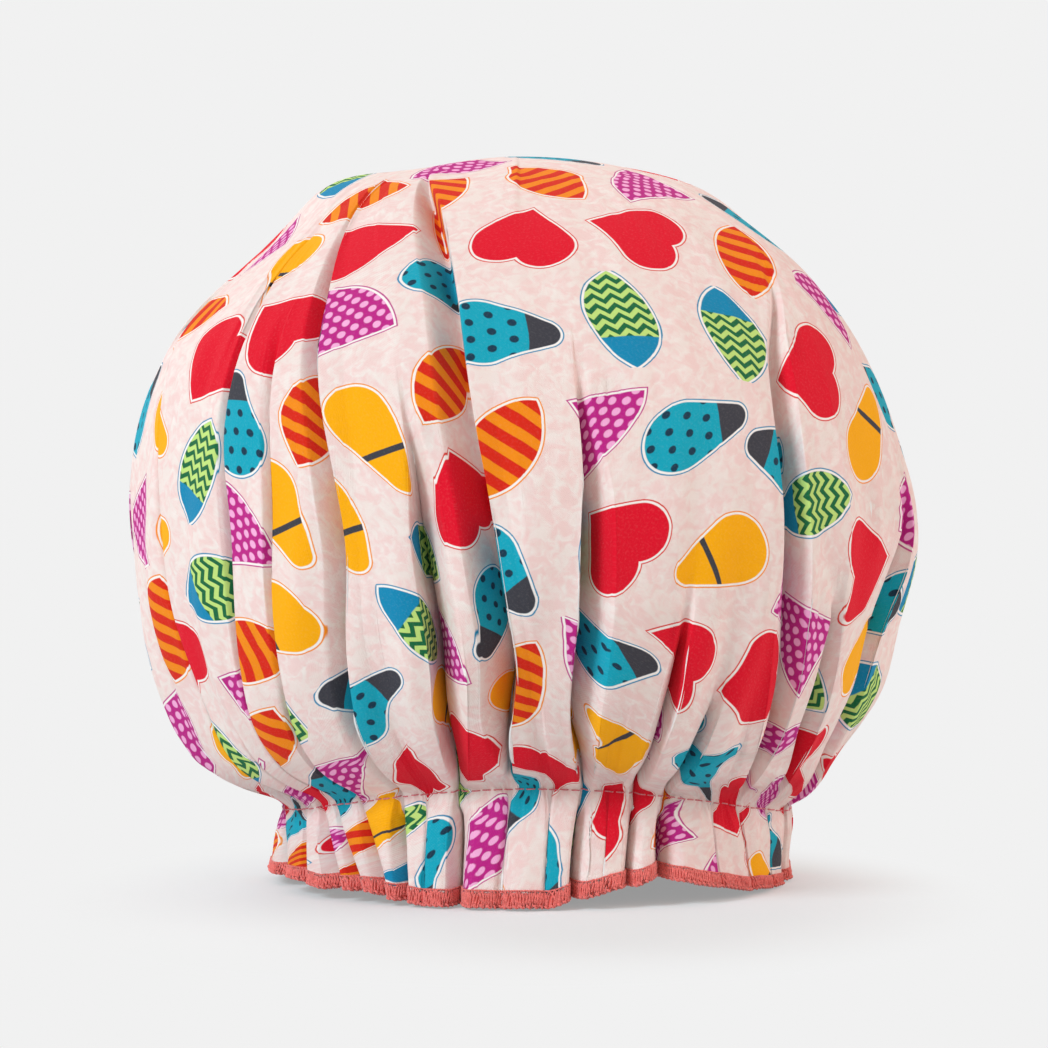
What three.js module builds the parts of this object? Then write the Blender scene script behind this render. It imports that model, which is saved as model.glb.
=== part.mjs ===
// A gathered fabric shower cap, standing on its frill.
// Millimetres, +Z up, the front at -Y, the origin on the ground under the middle of the cap.
import * as THREE from 'three';

// Overall form
const CAP_WIDTH = 235;
const CAP_DEPTH = 228;
const CAP_HEIGHT = 216;
const BELLY_HEIGHT = 106;
const WAIST_RADIUS = 76;
const WAIST_HEIGHT = 29;
const WAIST_RISE = 5;
const HEM_RADIUS = 79;
const CROWN_SQUARENESS = 2.1;
const UNDERSIDE_SQUARENESS = 1.8;

// Folds: depths from the crown to the hem, widths of a flank as a share of its depth, and limits
const CROWN_FOLD_DEPTH = 5;
const BELLY_FOLD_DEPTH = 6.5;
const UNDERSIDE_FOLD_DEPTH = 7;
const NECK_FOLD_DEPTH = 5;
const WAIST_FOLD_DEPTH = 2;
const HEM_FOLD_DEPTH = 6;
const EASY_FLANK = 1.4;
const STEEP_FLANK = 0.7;
const LEAST_FLANK_WIDTH = 3;
const MOST_FLANK_SHARE = 0.45;
const LEAST_FOLD_DEPTH = 1;
const WIDEST_FACE_TURN = 26;

// Cloth, elastic and thread
const SHELL_THICKNESS = 0.4;
const LINING_THICKNESS = 0.3;
const ELASTIC_WIDTH = 6;
const ELASTIC_THICKNESS = 1;
const ELASTIC_OVERLAP_LENGTH = 16;
const ELASTIC_STEP_LENGTH = 12;
const ELASTIC_JOIN_BEARING = 172;
const JOIN_THREAD_WIDTH = 0.6;
const JOIN_THREAD_THICKNESS = 0.4;
const JOIN_ZIGZAGS = 3;
const JOIN_MARGIN = 1;
const GATHER_THREAD_WIDTH = 0.8;
const GATHER_THREAD_THICKNESS = 0.4;
const OVERLOCK_HEIGHT = 5;
const OVERLOCK_THICKNESS = 0.5;
const OVERLOCK_NEEDLE_WIDTH = 0.6;
const CLEARANCE = 0.3;

// Each fold: the line of its crease as [level, bearing from the front in degrees], where level 0 is
// the crown, 1 the gather line and HEM_LEVEL the edge; its depth factors in the dome and in the
// frill; the level where it has grown to its depth; and the panel that lies over it
const HEM_LEVEL = 1.1;
const LEFT = 'left';
const RIGHT = 'right';
const FOLDS = [
  [[[0.3, -78], [0.53, -68], [0.65, -63], [0.8, -60], [1, -64], [HEM_LEVEL, -51]], 1.1, 1, 0.6, RIGHT],
  [[[0.28, -58], [0.45, -51], [0.63, -44], [0.8, -46], [1, -50], [HEM_LEVEL, -36]], 1, 1, 0.45, RIGHT],
  [[[0.42, -41], [0.62, -36], [0.8, -37], [1, -43], [HEM_LEVEL, -30]], 0.9, 1, 0.55, RIGHT],
  [
    [[0.15, -66], [0.22, -54], [0.3, -45], [0.4, -34], [0.53, -29], [0.68, -24], [0.82, -25], [1, -33],
      [HEM_LEVEL, -25]],
    1.1, 1, 0.4, RIGHT,
  ],
  [
    [[0.14, -34], [0.2, -25], [0.33, -14], [0.52, -10], [0.64, -9], [0.8, -11], [1, -15], [HEM_LEVEL, -12]],
    1.1, 1, 0.6, LEFT,
  ],
  [[[0.58, -4], [0.69, -2], [0.88, -1], [1, -3], [HEM_LEVEL, -2]], 0.8, 0.9, 0.74, RIGHT],
  [[[0.45, 7], [0.69, 8], [0.82, 9], [1, 12], [HEM_LEVEL, 12]], 0.8, 1, 0.66, LEFT],
  [[[0.7, 22], [0.9, 23], [1, 24], [HEM_LEVEL, 21]], 0.9, 1, 0.84, RIGHT],
  [[[0.78, 33], [1, 32], [HEM_LEVEL, 30]], 0.8, 1, 0.9, RIGHT],
  [
    [[0.32, 62], [0.43, 46], [0.52, 40], [0.62, 39], [0.72, 40], [0.85, 44], [1, 50], [HEM_LEVEL, 55]],
    1, 0.2, 0.58, RIGHT,
  ],
  [[[0.58, 72], [0.8, 70], [1, 76], [HEM_LEVEL, 77]], 1, 1, 0.72, RIGHT],
  [[[0.2, 110], [0.35, 102], [0.65, 97], [1, 95], [HEM_LEVEL, 103]], 1.2, 1, 0.45, LEFT],
  [[[0.35, 116], [0.65, 120], [1, 117], [HEM_LEVEL, 126]], 0.9, 1, 0.6, RIGHT],
  [[[0.3, 127], [0.48, 134], [0.65, 137], [1, 136], [HEM_LEVEL, 140]], 1.2, 0.9, 0.52, RIGHT],
  [[[0.22, 154], [0.4, 158], [0.65, 160], [1, 157], [HEM_LEVEL, 159]], 1, 1, 0.5, RIGHT],
  [[[0.24, 168], [0.42, 176], [0.65, 179], [1, 178], [HEM_LEVEL, 184]], 1.2, 0.8, 0.52, LEFT],
  [[[0.3, 191], [0.65, 196], [1, 195], [HEM_LEVEL, 201]], 1.1, 0.9, 0.55, RIGHT],
  [[[0.3, 219], [0.65, 215], [1, 214], [HEM_LEVEL, 217]], 0.9, 0.9, 0.5, LEFT],
  [[[0.2, 249], [0.36, 239], [0.65, 235], [1, 233], [HEM_LEVEL, 233]], 1.2, 0.8, 0.42, LEFT],
  [[[0.3, 269], [0.65, 263], [1, 260], [HEM_LEVEL, 266]], 0.9, 0.8, 0.52, LEFT],
];

const FULL_TURN = 360;
const FRONT = -90;
const radians = (degrees) => (degrees * Math.PI) / 180;

// Layers, as distances in from the outer face of the shell
const shellInside = SHELL_THICKNESS;
const liningOutside = shellInside + CLEARANCE;
const liningInside = liningOutside + LINING_THICKNESS;

// The cut edge stands on the thread that runs round it, and hangs straight behind the stitches
const edgeHeight = OVERLOCK_THICKNESS + CLEARANCE;
const stitchedHeight = OVERLOCK_HEIGHT + CLEARANCE + OVERLOCK_NEEDLE_WIDTH;

// A point at a bearing from the front, a distance from the middle and a height
function place(bearing, distance, height) {
  const angle = radians(bearing + FRONT);
  return new THREE.Vector3(distance * Math.cos(angle), distance * Math.sin(angle), height);
}

// The belly is an oval, while the gathered opening and the hem are round
function bellyRadius(bearing) {
  const side = Math.sin(radians(bearing)) / CAP_WIDTH;
  const front = Math.cos(radians(bearing)) / CAP_DEPTH;
  return 1 / (2 * Math.hypot(side, front));
}

// The gather line rises at the front and back and dips at the sides
function waistHeight(bearing) {
  return WAIST_HEIGHT + WAIST_RISE * Math.cos(2 * radians(bearing));
}

// Mean profile, as [distance, height]
function crownPoint(rise, bearing) {
  const angle = (rise * Math.PI) / 2;
  const power = 2 / CROWN_SQUARENESS;
  return [
    bellyRadius(bearing) * Math.max(0, Math.cos(angle)) ** power,
    BELLY_HEIGHT + (CAP_HEIGHT - BELLY_HEIGHT) * Math.sin(angle) ** power,
  ];
}

function undersidePoint(drop, bearing) {
  const lowest = waistHeight(bearing) + ELASTIC_WIDTH / 2;
  const round = Math.max(0, 1 - drop ** UNDERSIDE_SQUARENESS) ** (1 / UNDERSIDE_SQUARENESS);
  return [
    WAIST_RADIUS + (bellyRadius(bearing) - WAIST_RADIUS) * round,
    BELLY_HEIGHT - (BELLY_HEIGHT - lowest) * drop,
  ];
}

// Rings of the cloth from the crown to the hem: the level of each, its profile point and fold depth
const RINGS = [
  { level: 0.15, point: (b) => crownPoint(0.78, b), depth: 0 },
  { level: 0.27, point: (b) => crownPoint(0.6, b), depth: CROWN_FOLD_DEPTH },
  { level: 0.38, point: (b) => crownPoint(0.43, b), depth: CROWN_FOLD_DEPTH },
  { level: 0.5, point: (b) => crownPoint(0.24, b), depth: BELLY_FOLD_DEPTH },
  { level: 0.64, point: (b) => crownPoint(0, b), depth: BELLY_FOLD_DEPTH },
  { level: 0.75, point: (b) => undersidePoint(0.34, b), depth: UNDERSIDE_FOLD_DEPTH },
  { level: 0.86, point: (b) => undersidePoint(0.72, b), depth: UNDERSIDE_FOLD_DEPTH },
  { level: 0.94, point: (b) => undersidePoint(0.93, b), depth: NECK_FOLD_DEPTH },
  { level: 1, point: (b) => undersidePoint(1, b), depth: WAIST_FOLD_DEPTH },
  { level: 1, point: (b) => [WAIST_RADIUS, waistHeight(b) - ELASTIC_WIDTH / 2], depth: WAIST_FOLD_DEPTH },
  { level: HEM_LEVEL, point: () => [HEM_RADIUS, stitchedHeight], depth: HEM_FOLD_DEPTH },
  { level: HEM_LEVEL, point: () => [HEM_RADIUS, edgeHeight], depth: HEM_FOLD_DEPTH },
];
const HEM = RINGS.length - 1;
const NECK_BOTTOM = HEM - 2;
const NECK_TOP = HEM - 3;

// The value at a level of a line of [level, value] points
function along(line, level) {
  const after = line.findIndex(([knot]) => knot >= level);
  if (after === -1) {
    return line[line.length - 1][1];
  }
  if (after === 0) {
    return line[0][1];
  }
  const [[low, first], [high, second]] = [line[after - 1], line[after]];
  return THREE.MathUtils.mapLinear(level, low, high, first, second);
}

// Each fold's bearing and depth at a ring. A fold that has no depth there takes an even place
// between the folds on both sides of it that have
function foldsAt(ring) {
  const folds = FOLDS.map(([line, dome, frill, grown, over]) => {
    const growth = dome * THREE.MathUtils.smoothstep(ring.level, line[0][0], grown);
    const depth = ring.depth * (ring.level < 1 ? growth : frill);
    return { bearing: along(line, ring.level), depth: depth < LEAST_FOLD_DEPTH ? 0 : depth, over };
  });
  const count = folds.length;
  const deep = folds.flatMap((fold, i) => (fold.depth > 0 ? [i] : []));
  const fixed = deep.length > 0 ? deep : [0];
  fixed.forEach((from, i) => {
    const steps = i + 1 < fixed.length ? fixed[i + 1] - from : fixed[0] + count - from;
    const start = folds[from].bearing;
    const turn = turnBetween(start, folds[(from + steps) % count].bearing);
    for (let step = 1; step < steps; step += 1) {
      folds[(from + step) % count].bearing = start + (turn * step) / steps;
    }
  });
  return folds;
}

// How far one bearing lies round from another, up to a full turn
function turnBetween(from, to) {
  const turn = THREE.MathUtils.euclideanModulo(to - from, FULL_TURN);
  return turn === 0 ? FULL_TURN : turn;
}

// The stations of a ring in order round the cap: each fold's left shoulder, valley and right
// shoulder, or its place alone where it has no depth, and the middle of a wide panel after it. The
// flank under the panel on top is steep
const PER_FOLD = 4;
function stationsOf(ring) {
  const folds = foldsAt(ring);
  const count = folds.length;
  const groups = folds.map(({ bearing, depth, over }, i) => {
    const order = PER_FOLD * i;
    if (depth === 0) {
      return [{ order: order + 1, bearing, depth }];
    }
    const degree = radians(1) * ring.point(bearing)[0];
    const roomLeft = MOST_FLANK_SHARE * degree * turnBetween(folds[(i + count - 1) % count].bearing, bearing);
    const roomRight = MOST_FLANK_SHARE * degree * turnBetween(bearing, folds[(i + 1) % count].bearing);
    const valley = Math.min(depth, roomLeft / STEEP_FLANK, roomRight / STEEP_FLANK);
    const steep = Math.max(LEAST_FLANK_WIDTH, STEEP_FLANK * valley);
    const easy = Math.max(LEAST_FLANK_WIDTH, EASY_FLANK * valley);
    const left = Math.min(over === LEFT ? steep : easy, roomLeft);
    const right = Math.min(over === RIGHT ? steep : easy, roomRight);
    return [
      { order, bearing: bearing - left / degree, depth: 0 },
      { order: order + 1, bearing, depth: valley },
      { order: order + 2, bearing: bearing + right / degree, depth: 0 },
    ];
  });
  return groups.flatMap((group, i) => {
    const from = group[group.length - 1].bearing;
    const turn = turnBetween(from, groups[(i + 1) % count][0].bearing);
    const middle = { order: PER_FOLD * i + 3, bearing: from + turn / 2, depth: 0 };
    return turn > WIDEST_FACE_TURN ? [...group, middle] : group;
  });
}
const STATIONS = RINGS.map(stationsOf);

// The outward direction at a ring, long enough to keep a layer's thickness on both sides of it
function outward(row, bearing) {
  if (row >= NECK_BOTTOM) {
    return [1, 0];
  }
  const here = RINGS[row].point(bearing);
  const above = row > 0 ? RINGS[row - 1].point(bearing) : [0, CAP_HEIGHT];
  const below = RINGS[row + 1].point(bearing);
  const normal = ([d0, h0], [d1, h1]) => {
    const length = Math.hypot(d1 - d0, h1 - h0);
    return [(h0 - h1) / length, (d1 - d0) / length];
  };
  const upper = normal(above, here);
  const lower = row === NECK_TOP ? [1, 0] : normal(here, below);
  const scale = 1 + upper[0] * lower[0] + upper[1] * lower[1];
  return [(upper[0] + lower[0]) / scale, (upper[1] + lower[1]) / scale];
}

// A point of the cloth at a ring and station, a distance in from the outer face
function clothPoint(row, station, inset) {
  const [distance, height] = RINGS[row].point(station.bearing);
  const [out, up] = outward(row, station.bearing);
  const shift = station.depth + inset;
  return place(station.bearing, distance - shift * out, height - shift * up);
}

// A point beside the stitched edge at a station and a height, a distance in from its outer face
function edgePoint(station, height, inset) {
  return place(station.bearing, HEM_RADIUS - station.depth - inset, height);
}

function solid(points, triangles) {
  const geometry = new THREE.BufferGeometry();
  const coordinates = points.flatMap((point) => [point.x, point.y, point.z]);
  geometry.setAttribute('position', new THREE.Float32BufferAttribute(coordinates, 3));
  geometry.setIndex(triangles);
  geometry.computeVertexNormals();
  return geometry;
}

// Triangles between two closed rings of points, each given as {index, order} with order going up
function zip(upper, lower) {
  const triangles = [];
  const at = (ring, i) => ring[i % ring.length].index;
  const order = (ring, i) =>
    ring[i % ring.length].order + PER_FOLD * FOLDS.length * Math.floor(i / ring.length);
  let i = 0;
  let j = 0;
  while (i < upper.length || j < lower.length) {
    const lowerNext = i === upper.length || order(lower, j + 1) <= order(upper, i + 1);
    if (j < lower.length && lowerNext) {
      triangles.push(at(lower, j), at(lower, j + 1), at(upper, i));
      j += 1;
    } else {
      triangles.push(at(upper, i), at(lower, j), at(upper, i + 1));
      i += 1;
    }
  }
  return triangles;
}

// One layer of gathered cloth between two insets, open at the hem
function gatheredCloth(outerInset, innerInset) {
  const points = [];
  const triangles = [];
  const addFace = (inset) => {
    const apex = points.push(place(0, 0, CAP_HEIGHT - inset)) - 1;
    const rings = STATIONS.map((stations, row) =>
      stations.map((station) => ({
        index: points.push(clothPoint(row, station, inset)) - 1,
        order: station.order,
      })),
    );
    const crown = rings[0];
    const face = crown.flatMap(({ index }, i) => [apex, index, crown[(i + 1) % crown.length].index]);
    for (let row = 0; row < HEM; row += 1) {
      face.push(...zip(rings[row], rings[row + 1]));
    }
    return { face, hem: rings[HEM] };
  };
  const outer = addFace(outerInset);
  const inner = addFace(innerInset);
  triangles.push(...outer.face);
  for (let i = 0; i < inner.face.length; i += 3) {
    triangles.push(inner.face[i], inner.face[i + 2], inner.face[i + 1]);
  }
  triangles.push(...zip(outer.hem, inner.hem));
  return solid(points, triangles);
}

// A section swept through a list of cross-sections, closed on itself or capped at both ends.
// Each section runs anticlockwise as seen by someone who looks along the sweep from its start
function sweep(sections, closed) {
  const sides = sections[0].length;
  const points = sections.flat();
  const triangles = [];
  const corner = (section, side) => (section % sections.length) * sides + (side % sides);
  const steps = closed ? sections.length : sections.length - 1;
  for (let i = 0; i < steps; i += 1) {
    for (let side = 0; side < sides; side += 1) {
      const [a, b] = [corner(i, side), corner(i, side + 1)];
      const [c, d] = [corner(i + 1, side), corner(i + 1, side + 1)];
      triangles.push(a, d, b, a, c, d);
    }
  }
  if (!closed) {
    const last = sections.length - 1;
    for (let side = 1; side < sides - 1; side += 1) {
      triangles.push(corner(0, 0), corner(0, side), corner(0, side + 1));
      triangles.push(corner(last, 0), corner(last, side + 1), corner(last, side));
    }
  }
  return solid(points, triangles);
}

// A ring that follows every fold of the edge, from section corners given as [inset, height]
function edgeRing(corners) {
  return sweep(
    STATIONS[HEM].map((station) => corners.map(([inset, height]) => edgePoint(station, height, inset))),
    true,
  );
}

// Corners of a rectangle for a ring, from its outer inset, inner inset, bottom and top
function rectangle(outer, inner, bottom, top) {
  return [[outer, bottom], [outer, top], [inner, top], [inner, bottom]];
}

// The elastic runs one full turn inside the deepest waist folds, then steps in and overlaps its start
const elasticOuterRadius = WAIST_RADIUS - WAIST_FOLD_DEPTH - liningInside - CLEARANCE;
const lapStep = ELASTIC_THICKNESS + CLEARANCE;
const turnPerLength = FULL_TURN / (2 * Math.PI * elasticOuterRadius);
const lapTurn = ELASTIC_OVERLAP_LENGTH * turnPerLength;
const stepTurn = ELASTIC_STEP_LENGTH * turnPerLength;
const lapStart = ELASTIC_JOIN_BEARING - lapTurn / 2;
const lapEnd = ELASTIC_JOIN_BEARING + lapTurn / 2;
const RING_STEP = 6;

// Bearings from one to another in even steps of about RING_STEP degrees
function bearings(from, to) {
  const count = Math.ceil((to - from) / RING_STEP);
  return Array.from({ length: count + 1 }, (_, i) => from + ((to - from) * i) / count);
}

// A section of a band at the gather line, from its outer radius, lifted off the line
function bandSection(bearing, radius, thickness, width, lift = 0) {
  const middle = waistHeight(bearing) + lift;
  return rectangle(0, thickness, middle - width / 2, middle + width / 2).map(([inset, height]) =>
    place(bearing, radius - inset, height),
  );
}

function elasticBand() {
  const stepStart = lapStart + FULL_TURN - stepTurn;
  const lapped = lapStart + FULL_TURN;
  const route = [
    ...bearings(lapStart, stepStart),
    ...bearings(stepStart, lapped).slice(1),
    ...bearings(lapped, lapped + lapTurn).slice(1),
  ];
  return sweep(
    route.map((bearing) => {
      const stepped = THREE.MathUtils.clamp((bearing - stepStart) / stepTurn, 0, 1);
      const radius = elasticOuterRadius - lapStep * stepped;
      return bandSection(bearing, radius, ELASTIC_THICKNESS, ELASTIC_WIDTH);
    }),
    false,
  );
}

// The zigzag lies on the inner face of the lapped ends
function elasticJoinStitching() {
  const face = elasticOuterRadius - lapStep - ELASTIC_THICKNESS - CLEARANCE;
  const strokes = 2 * JOIN_ZIGZAGS;
  const swing = ELASTIC_WIDTH / 2 - JOIN_MARGIN;
  const strokeLength = (ELASTIC_OVERLAP_LENGTH - 2 * JOIN_MARGIN) / strokes;
  const slantWidth = (JOIN_THREAD_WIDTH * Math.hypot(strokeLength, 2 * swing)) / strokeLength;
  const from = lapStart + JOIN_MARGIN * turnPerLength;
  const sections = Array.from({ length: strokes + 1 }, (_, i) => {
    const bearing = from + i * strokeLength * turnPerLength;
    return bandSection(bearing, face, JOIN_THREAD_THICKNESS, slantWidth, i % 2 ? swing : -swing);
  });
  return sweep(sections, false);
}

// The bobbin thread lies on the elastic and passes over the join
function gatherBobbinThread() {
  const onBand = elasticOuterRadius - ELASTIC_THICKNESS - CLEARANCE;
  const onJoin = onBand - lapStep - JOIN_THREAD_THICKNESS - CLEARANCE;
  const route = [
    ...bearings(lapStart - stepTurn, lapStart),
    ...bearings(lapStart, lapEnd).slice(1),
    ...bearings(lapEnd, lapEnd + stepTurn).slice(1),
    ...bearings(lapEnd + stepTurn, lapStart - stepTurn + FULL_TURN).slice(1, -1),
  ];
  return sweep(
    route.map((bearing) => {
      const past = Math.max(lapStart - bearing, bearing - lapEnd, 0);
      const lowered = THREE.MathUtils.clamp(past / stepTurn, 0, 1);
      const radius = onJoin + (onBand - onJoin) * lowered;
      return bandSection(bearing, radius, GATHER_THREAD_THICKNESS, GATHER_THREAD_WIDTH);
    }),
    true,
  );
}

// The needle thread follows the gathers on the outside of the seam
function gatherNeedleThread() {
  const outer = -CLEARANCE - GATHER_THREAD_THICKNESS;
  return sweep(
    STATIONS[NECK_BOTTOM].map((station) => {
      const middle = waistHeight(station.bearing);
      const half = GATHER_THREAD_WIDTH / 2;
      const distance = WAIST_RADIUS - station.depth;
      return rectangle(outer, -CLEARANCE, middle - half, middle + half).map(([inset, height]) =>
        place(station.bearing, distance - inset, height),
      );
    }),
    true,
  );
}

// The outer looper covers the outside of the edge and runs under it
function overlockOuterLooper() {
  const outer = -CLEARANCE - OVERLOCK_THICKNESS;
  const inner = liningInside + CLEARANCE + OVERLOCK_THICKNESS;
  return edgeRing([
    [outer, 0],
    [outer, OVERLOCK_HEIGHT],
    [-CLEARANCE, OVERLOCK_HEIGHT],
    [-CLEARANCE, OVERLOCK_THICKNESS],
    [inner, OVERLOCK_THICKNESS],
    [inner, 0],
  ]);
}

function overlockInnerLooper() {
  const outer = liningInside + CLEARANCE;
  return edgeRing(rectangle(outer, outer + OVERLOCK_THICKNESS, edgeHeight, OVERLOCK_HEIGHT));
}

function overlockNeedleThread() {
  const bottom = OVERLOCK_HEIGHT + CLEARANCE;
  const outer = -CLEARANCE - OVERLOCK_THICKNESS;
  return edgeRing(rectangle(outer, -CLEARANCE, bottom, bottom + OVERLOCK_NEEDLE_WIDTH));
}

const printedCotton = new THREE.MeshStandardMaterial({ color: 0xecd6d2, roughness: 0.85 });
const clearLining = new THREE.MeshStandardMaterial({ color: 0xf2f1ee, roughness: 0.35 });
const whiteElastic = new THREE.MeshStandardMaterial({ color: 0xf4f2ee, roughness: 0.8 });
const whiteThread = new THREE.MeshStandardMaterial({ color: 0xf0ece8, roughness: 0.7 });
const redThread = new THREE.MeshStandardMaterial({ color: 0xd8606a, roughness: 0.7 });
const coralThread = new THREE.MeshStandardMaterial({ color: 0xe86458, roughness: 0.75 });

const showerCap = new THREE.Group();
function add(name, geometry, material) {
  const mesh = new THREE.Mesh(geometry, material);
  mesh.name = name;
  showerCap.add(mesh);
}

add('outer_shell', gatheredCloth(0, shellInside), printedCotton);
add('waterproof_lining', gatheredCloth(liningOutside, liningInside), clearLining);
add('elastic_band', elasticBand(), whiteElastic);
add('elastic_join_stitching', elasticJoinStitching(), whiteThread);
add('gather_needle_thread', gatherNeedleThread(), redThread);
add('gather_bobbin_thread', gatherBobbinThread(), redThread);
add('overlock_outer_looper', overlockOuterLooper(), coralThread);
add('overlock_inner_looper', overlockInnerLooper(), coralThread);
add('overlock_needle_thread', overlockNeedleThread(), coralThread);

export default showerCap;
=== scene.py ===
# A gathered fabric shower cap, standing on its frill.
# Metres, +Z up, the front at -Y. Bearings go round from the front, towards +X.
import math
from functools import partialmethod

import bpy
import numpy as np
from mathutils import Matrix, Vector


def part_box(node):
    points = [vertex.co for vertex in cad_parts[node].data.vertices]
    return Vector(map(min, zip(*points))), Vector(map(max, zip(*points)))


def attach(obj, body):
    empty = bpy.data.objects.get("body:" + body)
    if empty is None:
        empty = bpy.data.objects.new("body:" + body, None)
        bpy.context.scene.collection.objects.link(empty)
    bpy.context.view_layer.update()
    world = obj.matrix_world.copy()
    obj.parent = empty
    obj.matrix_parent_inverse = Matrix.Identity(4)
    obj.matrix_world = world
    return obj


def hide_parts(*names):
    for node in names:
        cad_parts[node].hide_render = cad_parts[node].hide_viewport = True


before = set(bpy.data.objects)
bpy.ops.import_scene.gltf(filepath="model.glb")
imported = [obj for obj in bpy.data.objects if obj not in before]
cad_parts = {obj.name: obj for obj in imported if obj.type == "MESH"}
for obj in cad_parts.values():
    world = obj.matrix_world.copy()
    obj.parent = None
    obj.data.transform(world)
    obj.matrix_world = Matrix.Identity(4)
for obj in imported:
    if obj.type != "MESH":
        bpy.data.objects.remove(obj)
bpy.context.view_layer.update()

MM = 0.001
TURN = 2 * math.pi
TINY = 1e-9

# Sizes that come from the frame
shell_low, shell_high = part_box("outer_shell")
elastic_low, elastic_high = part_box("elastic_band")
looper_low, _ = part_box("overlock_outer_looper")
BELLY_RADIUS = (shell_high.x - shell_low.x) / 2
DEPTH_RATIO = (shell_high.y - shell_low.y) / (shell_high.x - shell_low.x)
CROWN_HEIGHT = shell_high.z
EDGE_HEIGHT = shell_low.z
ELASTIC_OUTSIDE = elastic_high.x
GATHER_HEIGHT = (elastic_low.z + elastic_high.z) / 2
HEM_RADIUS = -looper_low.y

# The elastic's width, and how far the cloth stays off it, fading out between two distances from its middle
ELASTIC_WIDTH = 6 * MM
CLOTH_CLEARANCE = 0.9 * MM
CLEARANCE_FADES = (0.6 * ELASTIC_WIDTH, 1.2 * ELASTIC_WIDTH)

# The cap's mean section: its form, the points along its crown, underside and frill, the points after it is
# evened out, and the steps each way by which its neck is softened
BELLY_HEIGHT = 106 * MM
CROWN_SQUARENESS = 2.1
UNDERSIDE_SQUARENESS = 1.8
GATHER_RADIUS = ELASTIC_OUTSIDE + 1.2 * MM
GATHER_RISE = 5 * MM
NECK_RISE = 3 * MM
NECK_SOFTNESS = 4 * MM
NECK_REACH = 4 * NECK_SOFTNESS
PART_POINTS = (600, 400, 100)
SECTION_POINTS = 1400
NECK_STEPS = 40

# Rings of the cloth: the first one's run, and each step to the next as [distance from the gather line, step],
# in millimetres
FIRST_RING = 2 * MM
RING_STEPS = [[0, 0.9], [8, 1.4], [40, 2.0], [130, 3.0]]

# Levels: 0 at the crown, 1 at the gather line and HEM at the edge
HEM = 1.1
MINOR_LEVELS = (0.85, 1, HEM)
MINOR_STRENGTH = 0.3
MINOR_FADE = (0.85, 0.95)


def minor(bearings, frill, dome_lean, frill_lean):
    """A small crease, which shows only near the gather line and in the frill."""
    line = list(zip(MINOR_LEVELS, bearings))
    return line, MINOR_STRENGTH, frill, MINOR_FADE, (dome_lean, dome_lean, frill_lean)


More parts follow.
